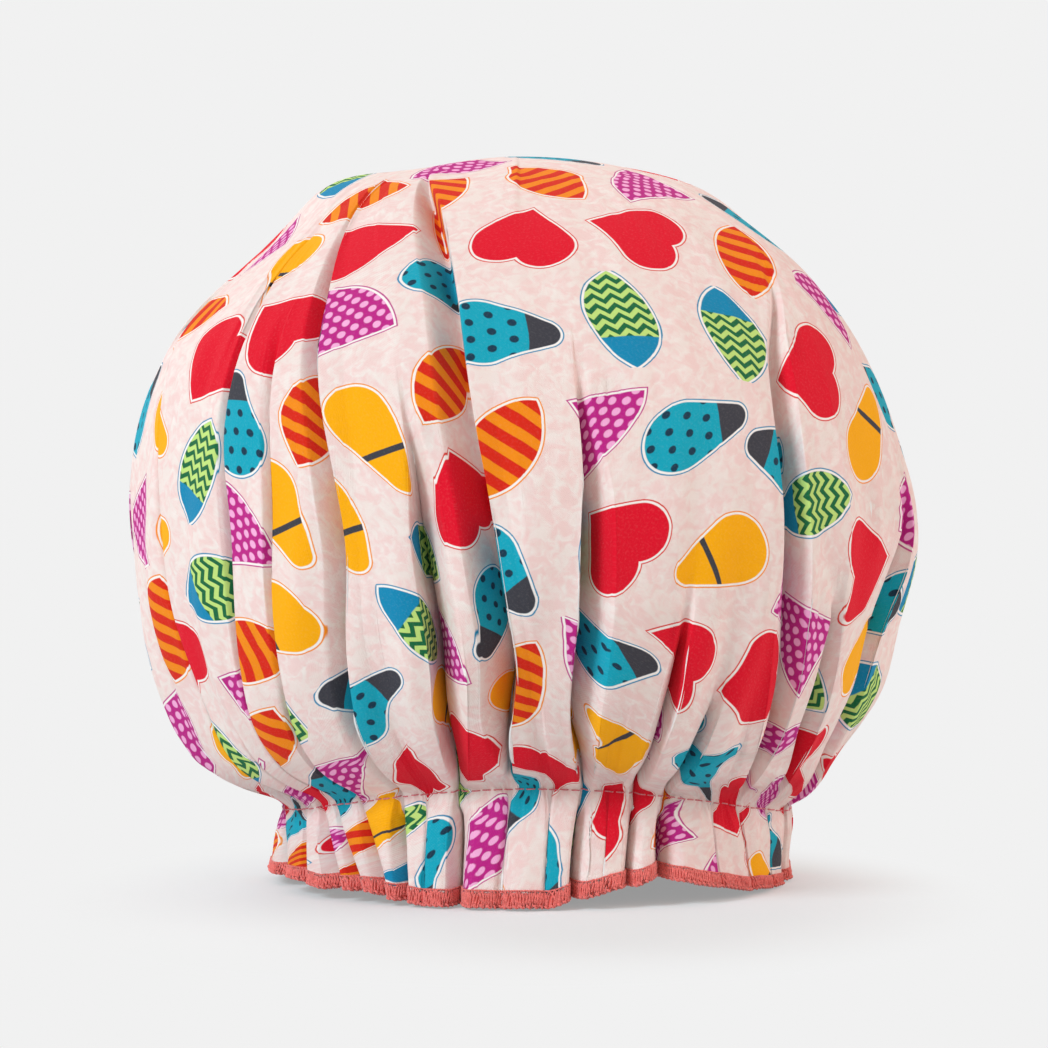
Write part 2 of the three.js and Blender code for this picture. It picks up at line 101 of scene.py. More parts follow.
# Where each crease runs, as [level, bearing in degrees]; its strength in the dome and in the frill; the
# levels between which it fades in; and its lean high in the dome, low in the dome and in the frill, from -1
# (the right panel lies on top) through 0 (an upright valley) to 1 (the left panel lies on top)
FOLDS = [
    ([[0.90, -82], [1, -79], [HEM, -68]], 0.3, 0.8, (0.8, 0.95), (-0.6, -0.6, -0.2)),
    ([[0.30, -78], [0.53, -68], [0.65, -63], [0.8, -60], [1, -64], [HEM, -53]],
     1.0, 0.3, (0.3, 0.5), (-0.8, -0.8, -0.15)),
    ([[0.80, -53], [1, -57], [HEM, -43]], 0.3, 1.0, (0.8, 0.95), (-0.6, -0.6, -0.2)),
    ([[0.28, -58], [0.45, -51], [0.63, -44], [0.8, -46], [1, -50], [HEM, -37]],
     1.1, 0.35, (0.28, 0.42), (-0.8, -0.8, -0.15)),
    ([[0.42, -41], [0.62, -36], [0.8, -37], [1, -42], [HEM, -32]],
     0.9, 0.7, (0.42, 0.55), (-0.7, -0.8, -0.25)),
    ([[0.15, -66], [0.22, -54], [0.3, -45], [0.4, -34], [0.53, -29], [0.68, -24], [0.82, -25], [1, -32],
      [HEM, -27]], 1.5, 1.2, (0.15, 0.27), (-0.8, -0.8, -0.35)),
    ([[0.14, -61], [0.22, -47], [0.38, -30], [0.6, -21], [0.85, -19], [1, -25], [HEM, -22]],
     0.3, 0.1, (0.85, 0.96), (-0.6, -0.6, -0.3)),
    ([[0.14, -56], [0.22, -40], [0.38, -25], [0.5, -18], [0.6, -13.2], [0.75, -12.1], [0.85, -13],
      [1, -18], [HEM, -16]], 1.6, 1.2, (0.5, 0.66), (0.85, 0.85, 0.35)),
    ([[0.14, -44], [0.22, -24], [0.3, -17], [0.38, -12.3], [0.55, -8.2], [0.66, -4.1], [0.72, -3.3],
      [0.81, -1], [1, -4], [HEM, -5]], 1.7, 0.2, (0.14, 0.28), (-0.7, -0.8, -0.3)),
    ([[0.5, -1], [0.72, 0.5], [0.85, 3.5], [1, 4], [HEM, 3.5]], 0.3, 0.1, (0.85, 0.95), (-0.6, -0.6, -0.3)),
    ([[0.45, 8], [0.69, 9], [0.82, 9.5], [1, 10], [HEM, 10]], 1.8, 1.2, (0.45, 0.66), (0.8, 0.8, 0.35)),
    ([[0.45, 19], [0.7, 19], [0.85, 17], [1, 16], [HEM, 15]], 0.2, 0.05, (0.8, 0.98), (-0.6, -0.6, -0.3)),
    ([[0.5, 26], [0.7, 25], [0.8, 23], [1, 22], [HEM, 20]], 0.8, 1.1, (0.7, 0.84), (-0.8, -0.8, -0.3)),
    ([[0.78, 33], [1, 30], [HEM, 27]], 0.6, 0.9, (0.78, 0.9), (-0.8, -0.8, -0.35)),
    minor((38, 41, 43), 0.06, 0.6, 0.3),
    ([[0.32, 62], [0.43, 46], [0.52, 40], [0.62, 39], [0.72, 40], [0.85, 44], [1, 50], [HEM, 55]],
     1.5, 0.12, (0.32, 0.58), (-0.7, -0.8, -0.25)),
    ([[0.69, 52], [0.84, 55], [1, 62], [HEM, 65]], 0.8, 0.06, (0.69, 0.8), (-0.8, -0.8, -0.25)),
    ([[0.58, 72], [0.8, 70], [1, 76], [HEM, 77]], 0.9, 1.0, (0.58, 0.72), (-0.8, -0.8, -0.35)),
    minor((84, 86, 87), 0.3, -0.6, 0.25),
    ([[0.2, 110], [0.35, 102], [0.65, 97], [1, 95], [HEM, 103]], 1.3, 1.1, (0.2, 0.45), (0.8, 0.8, 0.3)),
    minor((107, 105, 111), 0.2, -0.6, -0.25),
    ([[0.35, 116], [0.65, 120], [1, 117], [HEM, 126]], 0.9, 1.0, (0.35, 0.6), (-0.8, -0.8, -0.25)),
    ([[0.3, 127], [0.48, 134], [0.65, 137], [1, 136], [HEM, 140]], 1.4, 0.9, (0.3, 0.52), (-0.8, -0.8, -0.3)),
    minor((148, 147, 149), 0.25, -0.6, 0.25),
    ([[0.22, 154], [0.4, 158], [0.65, 160], [1, 157], [HEM, 159]], 1.0, 1.0, (0.22, 0.5), (-0.7, -0.8, -0.3)),
    minor((170, 167, 169), 0.15, 0.6, 0.25),
    ([[0.24, 168], [0.42, 176], [0.65, 179], [1, 178], [HEM, 184]], 1.4, 0.9, (0.24, 0.52), (0.7, 0.8, 0.35)),
    minor((187, 186, 192), 0.4, 0.6, 0.25),
    ([[0.3, 191], [0.65, 196], [1, 195], [HEM, 201]], 1.1, 0.9, (0.3, 0.55), (-0.8, -0.8, -0.2)),
    minor((206, 204, 208), 0.1, -0.6, -0.3),
    ([[0.3, 219], [0.65, 215], [1, 214], [HEM, 217]], 1.0, 1.0, (0.3, 0.5), (0.8, 0.8, 0.3)),
    minor((224, 223, 225), 0.25, 0.6, -0.2),
    ([[0.2, 249], [0.36, 239], [0.65, 235], [1, 233], [HEM, 233]], 1.4, 0.9, (0.2, 0.42), (0.8, 0.8, 0.35)),
    minor((247, 246, 249), 0.4, 0.6, 0.25),
    ([[0.3, 269], [0.65, 263], [1, 260], [HEM, 266]], 1.0, 0.9, (0.3, 0.52), (0.7, 0.8, 0.25)),
    minor((274, 271, 278), 0.2, -0.6, -0.2),
]

# The levels of growing into the frill and of the leans, how creases keep apart, and how flat panels hang
FRILL_GROWS = (0.86, 1)
LEAN_LEVELS = (0.5, 0.68, 0.9, 1)
LEAST_CELL = 3 * MM
LEAST_RADIUS = 10 * MM
SPREAD_ROUNDS = 60
CREASE_ROUNDING = 12
PANEL_FLATNESS = 0.8
MOST_FLATTENING = 5 * MM


def in_mm(*knots):
    """Rows of a place and a size in millimetres, with the sizes in metres."""
    return np.array(knots) * [1, MM]


# How far the cap's outline stands out at its left and right, as [level, distance]
LEFT_OUTLINE = in_mm([0.1, -1], [0.21, 3.5], [0.29, -2.5], [0.36, -2.7], [0.47, 1], [0.7, -1.6],
                     [0.82, -1.2], [0.91, 2.4], [0.97, 0.5])
RIGHT_OUTLINE = in_mm([0.1, 0], [0.2, 1], [0.3, -1.8], [0.38, -0.5], [0.55, -2.3], [0.68, 0.8],
                      [0.75, -1.2], [0.82, 1.8], [0.9, -1.2], [0.97, 2])
OUTLINE_BEARING = 86
OUTLINE_REACH = 34

# Chance: how far each kind goes, and its waves as (seed, count, shortest, longest, how much closer they lie
# along the first of two lengths and along the second)
WANDER = 0.8
WANDER_WAVES = (11, 9, 60 * MM, 160 * MM, 1, 0.37)
SLACK = 1.1 * MM
SLACK_WAVES = (5, 14, 50 * MM, 150 * MM, 1, 0.7)
SLACK_GROWS = (0.12, 0.35)
SLACK_ENDS = (0.85, 0.98)
CRUMPLE = 1.1 * MM
CRUMPLE_WAVES = (6, 16, 13 * MM, 34 * MM, 1, 0.22)
CRUMPLE_GROWS = (0.35, 0.7)
PUCKER = 0.5 * MM
PUCKER_WAVES = (9, 20, 3.5 * MM, 8 * MM, 1.2, 0.2)
PUCKER_REACH = 9 * MM

# The waist and the frill
HEM_DROP = 0.2 * MM
HEM_HEIGHT = EDGE_HEIGHT - HEM_DROP
HEM_GROWS = (1.01, HEM)
TUCKED_HEM_LIFT = 0.25
FRILL_ROUNDING = 4
RUFFLES_GROW = (0.98, 1.06)
RUFFLE_BULGE = 0.55
MOST_BULGE = 4.5 * MM
WAIST_SHIFT = 4.5 * MM
SIDE_DROP = 2.5 * MM
OVAL_ABOVE = 0.6

# How far the cloth lies to the right, as [level, distance]
SIDEWAYS = [[0, 0], [0.84, 0], [1, WAIST_SHIFT], [HEM, 2.6 * MM]]

# How far the hem is lifted off the ground, as [bearing, height], and stands out, as [bearing, distance]
HEM_WAVE = in_mm([-180, 1], [-150, 0.2], [-120, 1.5], [-80, 3.6], [-57, 4.6], [-47, 3], [-36, 3], [-28, 1],
                 [-22, 0], [4, 0], [10, 2.2], [21, 5], [27, 7], [41, 3.8], [54, 1.2], [70, 0], [110, 1.6],
                 [140, 0.2], [180, 1])
HEM_FLARE = in_mm([-180, 1], [-130, 2], [-95, -4], [-72, -4], [-50, 0], [-30, -1], [0, 0], [30, 0.5],
                  [75, -4.5], [95, -5], [120, 0], [180, 1])

# A fold's section: panel, flank, tuck, flank, panel. Steps along each stretch, then its sizes as
# [level, size]: the flanks' slope when upright, how deep its valley shows and how deep its tuck goes
FOLD_STEPS = (10, 7, 4, 4, 7, 10)
FLANK_SLOPE = [[0, 44], [0.5, 56], [0.95, 58], [1, 54], [HEM, 50]]
VALLEY_DEPTH = in_mm([0, 5], [0.35, 7], [0.6, 8.5], [0.85, 8.5], [0.96, 4.5], [1, 1.8], [1.03, 5], [HEM, 10])
TUCK_DEPTH = in_mm([0, 8], [0.7, 12], [0.9, 12], [0.97, 5], [1, 1], [1.03, 4], [HEM, 10])
TUCK_GROWS = (0.2, 0.8)
TUCK_SHOWS = 3 * MM
STEEPEST_FLANK = 100
FLANK_TURN = 18
FLANK_BEND = 1.25
TOP_FLANK_BEND = 2.8
TOP_PANEL_LIFT = 1.2 * MM
LIFTED_DEPTH = 4 * MM
PANEL_CROWDING = 1.6
WIDEST_VALLEY = 0.62
LEAST_SPREAD = 0.2
MOST_SPARE = 2.4
MOST_PULL = 2.2
FOLD_ROUNDING = 4

# The gap between a fold's flanks, closer where it is pressed, and shares of the cell: the widest gap, the gap
# and flank of a fold that is shut, and the margin left at each side
TUCK_GAP = 0.8 * MM
PRESSED_LEVELS = (0.99, 1.03)
PRESSED_CLOSER = 0.6
SHUT_DEPTH = 2.5 * MM
WIDEST_GAP = 0.05
SHUT_GAP = 0.06
SHUT_FLANK = 0.1
CELL_MARGIN = 0.12


def smoothstep(low, high, x):
    share = np.clip((x - low) / (high - low), 0, 1)
    return share * share * (3 - 2 * share)


def polar(radius, bearing, *height):
    """Places at a radius and bearing, with their height where it is given."""
    return np.stack([radius * np.sin(bearing), -radius * np.cos(bearing), *height], -1)


def by_level(table, level):
    """A straight line from knot to knot of a table."""
    knots = np.array(table)
    return np.interp(level, knots[:, 0], knots[:, 1])


def soft_line(x, table):
    """A line through a table's knots, softened between each two."""
    knots, values = np.array(table).T
    place = np.clip(np.searchsorted(knots, x) - 1, 0, len(knots) - 2)
    share = smoothstep(0, 1, (x - knots[place]) / (knots[place + 1] - knots[place]))
    return values[place] + (values[place + 1] - values[place]) * share


def section():
    """The mean section from the middle of the crown to the hem: run along it, radius and height."""
    crown, underside, frill = PART_POINTS
    turn = np.linspace(0, math.pi / 2, crown)
    crown_radius = BELLY_RADIUS * np.sin(turn) ** (2 / CROWN_SQUARENESS)
    crown_height = (CROWN_HEIGHT - BELLY_HEIGHT) * np.cos(turn) ** (2 / CROWN_SQUARENESS)
    drop = np.linspace(0, 1, underside)[1:]
    neck = GATHER_HEIGHT + NECK_RISE
    round_in = (1 - drop ** UNDERSIDE_SQUARENESS) ** (1 / UNDERSIDE_SQUARENESS)
    fall = np.linspace(0, 1, frill)[1:]
    radius = np.concatenate([
        crown_radius,
        GATHER_RADIUS + (BELLY_RADIUS - GATHER_RADIUS) * round_in,
        GATHER_RADIUS + (HEM_RADIUS - GATHER_RADIUS) * fall,
    ])
    height = np.concatenate([
        BELLY_HEIGHT + crown_height,
        BELLY_HEIGHT - (BELLY_HEIGHT - neck) * drop,
        neck - (neck - HEM_HEIGHT) * fall,
    ])
    run = np.concatenate([[0], np.cumsum(np.hypot(np.diff(radius), np.diff(height)))])
    even = np.linspace(0, run[-1], SECTION_POINTS)
    radius = np.interp(even, run, radius)
    height = np.interp(even, run, height)
    near_neck = np.exp(-(((height - neck) / NECK_REACH) ** 2)) * (even > run[-1] / 2)
    steps = np.arange(-NECK_STEPS, NECK_STEPS + 1)
    kernel = np.exp(-((steps * even[1] / NECK_SOFTNESS) ** 2) / 2)
    kernel /= kernel.sum()
    for line in (radius, height):
        soft = np.convolve(np.pad(line, NECK_STEPS, mode="edge"), kernel, mode="valid")
        line += (soft - line) * near_neck
    return even, radius, height


RUN, RADIUS, HEIGHT = section()
HEM_RUN = RUN[-1]
GATHER_RUN = float(np.interp(-GATHER_HEIGHT, -HEIGHT[len(RUN) // 2:], RUN[len(RUN) // 2:]))
OUT_RADIUS = -np.gradient(HEIGHT, RUN)
OUT_HEIGHT = np.gradient(RADIUS, RUN)


def on_section(run):
    """The mean section's radius and height at runs, and its outward normal."""
    return [np.interp(run, RUN, line) for line in (RADIUS, HEIGHT, OUT_RADIUS, OUT_HEIGHT)]


def ring_runs():
    """How far each ring of the cloth lies from the middle of the crown, closest near the gather line."""
    runs = [FIRST_RING]
    while runs[-1] < HEM_RUN:
        away = abs(runs[-1] - GATHER_RUN) / MM
        runs.append(runs[-1] + MM * by_level(RING_STEPS, away))
    runs = np.array(runs)
    return FIRST_RING + (runs - FIRST_RING) * (HEM_RUN - FIRST_RING) / (runs[-1] - FIRST_RING)


def waves(seed, count, shortest, longest, closer_x, closer_y):
    """A smooth random function of two lengths, about -1 to 1."""
    rng = np.random.default_rng(seed)
    lengths = np.exp(rng.uniform(math.log(shortest), math.log(longest), count))
    ways = rng.uniform(0, TURN, count)
    phases = rng.uniform(0, TURN, count)

    def value(x, y):
        x = x * closer_x
        y = y * closer_y
        total = 0
        for length, way, phase in zip(lengths, ways, phases):
            total = total + np.sin(TURN * (x * math.cos(way) + y * math.sin(way)) / length + phase)
        return total / math.sqrt(count)

    return value


def fold_strengths(run):
    """Each fold's strength and lean at each ring."""
    level = run / GATHER_RUN
    in_frill = smoothstep(*FRILL_GROWS, level)
    strengths = []
    leans = []
    for _, dome, frill, grown, (high, low, hem) in FOLDS:
        rising = dome * smoothstep(*grown, level)
        strengths.append(rising + (frill - rising) * in_frill)
        leans.append(np.interp(level, LEAN_LEVELS, (high, low, low, hem)))
    return np.stack(strengths, 1), np.stack(leans, 1)


def fold_bearings(run):
    """The bearing of each fold's crease at each ring, kept in order and softened."""
    bearing = np.stack([by_level(line, run / GATHER_RUN) for line, *_ in FOLDS], 1)
    bearing += WANDER * waves(*WANDER_WAVES)(run[:, None], np.arange(len(FOLDS)))
    least = np.degrees(LEAST_CELL / np.maximum(np.interp(run, RUN, RADIUS), LEAST_RADIUS))
    for _ in range(SPREAD_ROUNDS):
        gap = np.roll(bearing, -1, 1) - bearing
        gap[:, -1] += 360
        push = np.maximum(least[:, None] - gap, 0) / 2
        bearing += np.roll(push, 1, 1) - push
    for _ in range(CREASE_ROUNDING):
        bearing[1:-1] = (bearing[:-2] + 2 * bearing[1:-1] + bearing[2:]) / 4
    return np.radians(bearing)


def fold_section(level, width, place, spare, strength, lean, crease):
    """Each fold's section across its cell: distance along it, depth, length of cloth and how far through
    its tuck. The edge of the panel that lies on top is at the fold's place."""
    upright = by_level(FLANK_SLOPE, level)[:, None]
    # The left side's values, then the right side's
    on_top = np.stack([np.maximum(lean, 0), np.maximum(-lean, 0)])
    turned = FLANK_TURN * np.sin(crease)
    slope = upright + (STEEPEST_FLANK - upright) * on_top + np.stack([-turned, turned]) * on_top[::-1]
    slope = np.radians(slope)
    used = np.tan(slope / 2).sum(0)
    spread = (1 / np.tan(slope)).sum(0)
    depth = by_level(VALLEY_DEPTH, level)[:, None] * strength
    depth = np.minimum(depth, MOST_PULL * spare / used)
    depth = np.minimum(depth, WIDEST_VALLEY * width / np.maximum(spread, LEAST_SPREAD))
    lift = TOP_PANEL_LIFT * np.minimum(1, depth / LIFTED_DEPTH) * on_top
    tuck = (spare - used * depth) / 2
    tuck = np.clip(tuck, 0, by_level(TUCK_DEPTH, level)[:, None] * smoothstep(*TUCK_GROWS, strength))
    # Where the fold is shut its columns lie evenly, and in the frill it is a pressed crease
    pressed = smoothstep(*PRESSED_LEVELS, level)[:, None]
    shut = (1 - smoothstep(0, SHUT_DEPTH, depth + tuck)) * (1 - pressed)
    gap = np.minimum(TUCK_GAP / 2 * (1 - PRESSED_CLOSER * pressed), WIDEST_GAP * width)
    gap = gap + shut * width * SHUT_GAP
    flank = (depth + lift) / np.tan(slope) + gap + shut * width * SHUT_FLANK
    valley = place + on_top[0] * flank[0] - on_top[1] * flank[1]
    valley = np.clip(valley, CELL_MARGIN * width + flank[0], (1 - CELL_MARGIN) * width - flank[1])
    seam = (lift[1] + np.roll(lift[0], -1, 1)) / 2
    knots = np.stack([np.stack(knot, -1) for knot in (
        (0 * width, np.roll(seam, 1, 1)),
        (valley - flank[0], lift[0]),
        (valley - gap, -depth),
        (valley, -depth - tuck),
        (valley + gap, -depth),
        (valley + flank[1], lift[1]),
        (width, seam),
    )], axis=2)
    stretches = []
    for number, count in enumerate(FOLD_STEPS):
        share = np.arange(count) / count
        if number == 0:
            share = 1 - (1 - share) ** PANEL_CROWDING
        if number == len(FOLD_STEPS) - 1:
            share = share ** PANEL_CROWDING
        first = knots[:, :, number, None]
        step = knots[:, :, number + 1, None] - first
        stretch = first + step * share[:, None]
        # Flanks leave their panels level and are steepest at the crease
        if number == 1:
            bend = FLANK_BEND + TOP_FLANK_BEND * on_top[0][..., None]
            stretch[..., 1] = first[..., 1] + step[..., 1] * share ** bend
        if number == 4:
            bend = FLANK_BEND + TOP_FLANK_BEND * on_top[1][..., None]
            stretch[..., 1] = first[..., 1] + step[..., 1] * (1 - (1 - share) ** bend)
        stretches.append(stretch)
    line = np.concatenate(stretches + [knots[:, :, -1:]], axis=2)
    length = np.cumsum(np.hypot(*np.moveaxis(np.diff(line, axis=2), -1, 0)), axis=2)
    length = np.concatenate([0 * length[..., :1], length], axis=2)
    through = np.interp(np.arange(sum(FOLD_STEPS) + 1), np.cumsum((0,) + FOLD_STEPS), [0, 0, 0, 0.5, 1, 1, 1])
    tucked = np.maximum(smoothstep(0, TUCK_SHOWS, tuck), pressed)[..., None]
    through = tucked * through + (1 - tucked) * length / length[..., -1:]
    return line[..., 0], line[..., 1], length, through


def cloth():
    """Points and flat positions of the gathered round, as rings of columns."""
    run = ring_runs()
    level = run / GATHER_RUN
    radius, height, out_radius, out_height = on_section(run)
    strength, lean = fold_strengths(run)
    crease = fold_bearings(run)
    after = np.concatenate([crease[:, 1:], crease[:, :1] + TURN], axis=1)
    middle = (crease + after) / 2
    before = np.concatenate([middle[:, -1:] - TURN, middle[:, :-1]], axis=1)
    width = radius[:, None] * (middle - before)

    # Spare cloth goes to the folds by their strength
    weight = strength * np.sqrt(width)
    weight = weight / np.maximum(weight.sum(1, keepdims=True), TINY)
    spare = TURN * np.maximum(run - radius, 0)[:, None] * weight
    spare = np.minimum(spare, MOST_SPARE * width)
    place = radius[:, None] * (crease - before)
    x, deep, length, through = fold_section(level, width, place, spare, strength, lean, crease)
    bearing = before[..., None] + x / radius[:, None, None]

    # Panels hang flatter than the round that they lie on
    right = bearing > crease[..., None]
    panel = np.where(right, middle[..., None], before[..., None])
    half = np.where(right, ((after - crease) / 2)[..., None], (crease - before)[..., None])
    sag = radius[:, None, None] * (1 - np.cos(np.minimum(half, 1)))
    sag = MOST_FLATTENING * np.tanh(sag / MOST_FLATTENING)
    across = np.minimum(((bearing - panel) / half) ** 2, 1)
    in_frill = smoothstep(*RUFFLES_GROW, level)[:, None, None]
    # A third is the mean of across, so panels keep their mean distance
    deep = deep + PANEL_FLATNESS * sag * (across - 1 / 3) * (1 - in_frill)
    # The frill's panels stand out as ruffles
    bulge = MOST_BULGE * np.tanh(RUFFLE_BULGE * radius[:, None, None] * half / MOST_BULGE)
    dip = across * np.minimum(1, strength)[..., None]
    deep = deep + bulge * (0.5 - dip) * in_frill

    # Flat position: what the folds don't take up lies in the tucks
    hidden = (TURN * run - length[..., -1].sum(1))[:, None] * width / width.sum(1, keepdims=True)
    cell = length[..., -1] + hidden
    start = np.cumsum(cell, axis=1) - cell
    flat = (start[..., None] + length + hidden[..., None] * through) / run[:, None, None]
    flat += (before - start / run[:, None]).mean(1)[:, None, None]

    count = width.shape[1] * sum(FOLD_STEPS)
    bearing, deep, flat = (grid[..., :-1].reshape(len(run), count) for grid in (bearing, deep, flat))
    pucker = waves(*PUCKER_WAVES)(flat * GATHER_RUN, run[:, None])
    deep += PUCKER * pucker * np.exp(-np.abs(run - GATHER_RUN) / PUCKER_REACH)[:, None]
    degrees = (np.degrees(bearing) + 180) % 360 - 180
    to_hem = smoothstep(*HEM_GROWS, level)[:, None]
    raised = (TUCKED_HEM_LIFT * np.maximum(-deep, 0) + soft_line(degrees, HEM_WAVE)) * to_hem
    away = radius[:, None] + deep * out_radius[:, None] + soft_line(degrees, HEM_FLARE) * to_hem
    points = polar(away, bearing, height[:, None] + deep * out_height[:, None] + raised)
    for number in range(FOLD_ROUNDING + FRILL_ROUNDING):
        softer = (np.roll(points, 1, 1) + 2 * points + np.roll(points, -1, 1)) / 4
        points += (softer - points) * (1 if number < FOLD_ROUNDING else in_frill)
    points[1:-1] = (points[:-2] + 2 * points[1:-1] + points[2:]) / 4
    points = keep_off_elastic(relax(settle(points, run), run))
    return run, points, polar(run[:, None], flat)


def gather_rise(bearing):
    """How far the gather line lies above its mean height."""
    return GATHER_RISE * np.cos(2 * bearing) - SIDE_DROP * np.sin(bearing) ** 2


def gather_height(bearing):
    return GATHER_HEIGHT + gather_rise(bearing)


def keep_off_elastic(points):
    """Moves the cloth outside the elastic where it would reach into it."""
    across = points[..., 0] - WAIST_SHIFT
    away = np.hypot(across, points[..., 1])
    bearing = np.arctan2(across, -points[..., 1])
    off = np.abs(points[..., 2] - gather_height(bearing))
    near = 1 - smoothstep(*CLEARANCE_FADES, off)
    grow = 1 + near * np.maximum(ELASTIC_OUTSIDE + CLOTH_CLEARANCE - away, 0) / np.maximum(away, MM)
    points[..., 0] = WAIST_SHIFT + across * grow
    points[..., 1] *= grow
    return points


def settle(points, run):
    """The outline's slack, the oval belly, and the gather line's rise and shift."""
    bearing = np.arctan2(points[..., 0], -points[..., 1])
    level = (run / GATHER_RUN)[:, None]
    radius, _, out_radius, out_height = (line[:, None] for line in on_section(run))
    stands_out = SLACK * waves(*SLACK_WAVES)(bearing * BELLY_RADIUS, run[:, None])
    crumple = waves(*CRUMPLE_WAVES)(bearing * BELLY_RADIUS, run[:, None])
    stands_out += CRUMPLE * crumple * smoothstep(*CRUMPLE_GROWS, level)
    stands_out *= smoothstep(*SLACK_GROWS, level) * (1 - smoothstep(*SLACK_ENDS, level))
    for side, outline in ((-OUTLINE_BEARING, LEFT_OUTLINE), (OUTLINE_BEARING, RIGHT_OUTLINE)):
        near = np.exp(-((np.degrees(bearing) - side) / OUTLINE_REACH) ** 2)
        stands_out += near * soft_line(level, outline)
    points += polar(stands_out * out_radius, bearing, stands_out * out_height)
    swell = np.clip((radius - GATHER_RADIUS) / (BELLY_RADIUS - GATHER_RADIUS), 0, 1)
    swell = np.where(level < OVAL_ABOVE, 1, swell)
    points[..., 1] *= 1 - (1 - DEPTH_RATIO) * swell
    low = np.interp(points[..., 2], [0, GATHER_HEIGHT, BELLY_HEIGHT], [0, 1, 0])
    points[..., 2] += gather_rise(bearing) * low
    points[..., 0] += soft_line(level, SIDEWAYS)
    return points


# How the cloth settles: from where, how often and how far, how it bends round and down, and how much it grows
# in the dome and near the gather line, where it is held
SETTLE_FROM = 45 * MM
SETTLE_ROUNDS = 60
SETTLE_SOFTNESS = 0.08
SETTLE_REACH = 5 * MM
SETTLE_DAMPING = 0.85
SETTLE_EASE = 0.999
BEND_ROUND = 0.6
BEND_DOWN = 0.2
DOME_GROWTH = 0.02
DOME_GROWS = (0.2, 0.6)
GATHER_GROWTH = 0.04
GATHER_SPAN = 0.12
FREED_OVER = 0.12
HELD_OVER = 0.012
GATHER_HOLD = 0.75
HOLD_SPAN = 0.05
RIPPLE = 0.5 * MM
RIPPLE_WAVES = (31, 24, 9 * MM, 45 * MM, 1.4, 0.35)


def pull(first, second, rest, hold_first, hold_second):
    """Moves pairs of points to their rest lengths, each by its own freedom."""
    gap = second - first
    length = np.sqrt((gap * gap).sum(-1, keepdims=True)) + TINY
    move = gap * ((length - rest) / length / (hold_first + hold_second + TINY))
    first += move * hold_first
    second -= move * hold_second


def relax(points, run):
    """Lets the cloth keep its lengths, bend softly and wrinkle where it has slack."""
    top = int(np.searchsorted(run, SETTLE_FROM))
    level = run[top:] / GATHER_RUN
    x = points[top:].astype(np.float32)
    start = x.copy()
    normal = normals_of(points)[top:].astype(np.float32)
    off_gather = np.abs(level - 1)
    growth = 1 + DOME_GROWTH * smoothstep(*DOME_GROWS, level)
    growth = growth + GATHER_GROWTH * np.exp(-off_gather / GATHER_SPAN)
    free = smoothstep(0, FREED_OVER, level - level[0]) * smoothstep(0, HELD_OVER, off_gather)
    free = (free[:, None, None] * np.ones((1, x.shape[1], 1))).astype(np.float32)
    reach = SETTLE_REACH * (1 - GATHER_HOLD * np.exp(-off_gather / HOLD_SPAN))
    reach = reach[:, None, None].astype(np.float32)
    round_rest = np.linalg.norm(np.roll(x, -1, 1) - x, axis=-1, keepdims=True)
    round_rest = (round_rest * growth[:, None, None]).astype(np.float32)
    down_rest = np.linalg.norm(x[1:] - x[:-1], axis=-1, keepdims=True)
    bearing = np.arctan2(x[..., 0], -x[..., 1])
    ripple = waves(*RIPPLE_WAVES)(bearing * GATHER_RADIUS, run[top:, None])
    x += normal * (RIPPLE * ripple[..., None]).astype(np.float32) * free
    speed = np.zeros_like(x)
    for _ in range(SETTLE_ROUNDS):
        before = x.copy()
        x += speed * SETTLE_DAMPING
        for shift in (0, 1):
            x = np.roll(x, -shift, 1)
            rest = np.roll(round_rest, -shift, 1)
            hold = np.roll(free, -shift, 1)
            pull(x[:, 0::2], x[:, 1::2], rest[:, 0::2], hold[:, 0::2], hold[:, 1::2])
            x = np.roll(x, shift, 1)
        for odd in (0, 1):
            upper = x[odd:-1:2]
            lower = x[odd + 1::2]
            pull(upper, lower, down_rest[odd::2], free[odd:-1:2], free[odd + 1::2])
        middle = (np.roll(x, 1, 1) + np.roll(x, -1, 1)) / 2
        middle[1:-1] = middle[1:-1] * BEND_ROUND + (x[:-2] + x[2:]) * BEND_DOWN
        x += (middle - x) * SETTLE_SOFTNESS * free
        away = x - start
        far = np.sqrt((away * away).sum(-1, keepdims=True)) + TINY
        x = start + away * np.minimum(1, reach / far) * SETTLE_EASE
        x[..., 2] = np.maximum(x[..., 2], HEM_HEIGHT)
        speed = (x - before) * free
    points = points.copy()
    points[top:] = x
    return points


# Rings nearer the crown than this keep only every so many columns
CROWN_STEPS = ((10 * MM, 12), (34 * MM, 4))


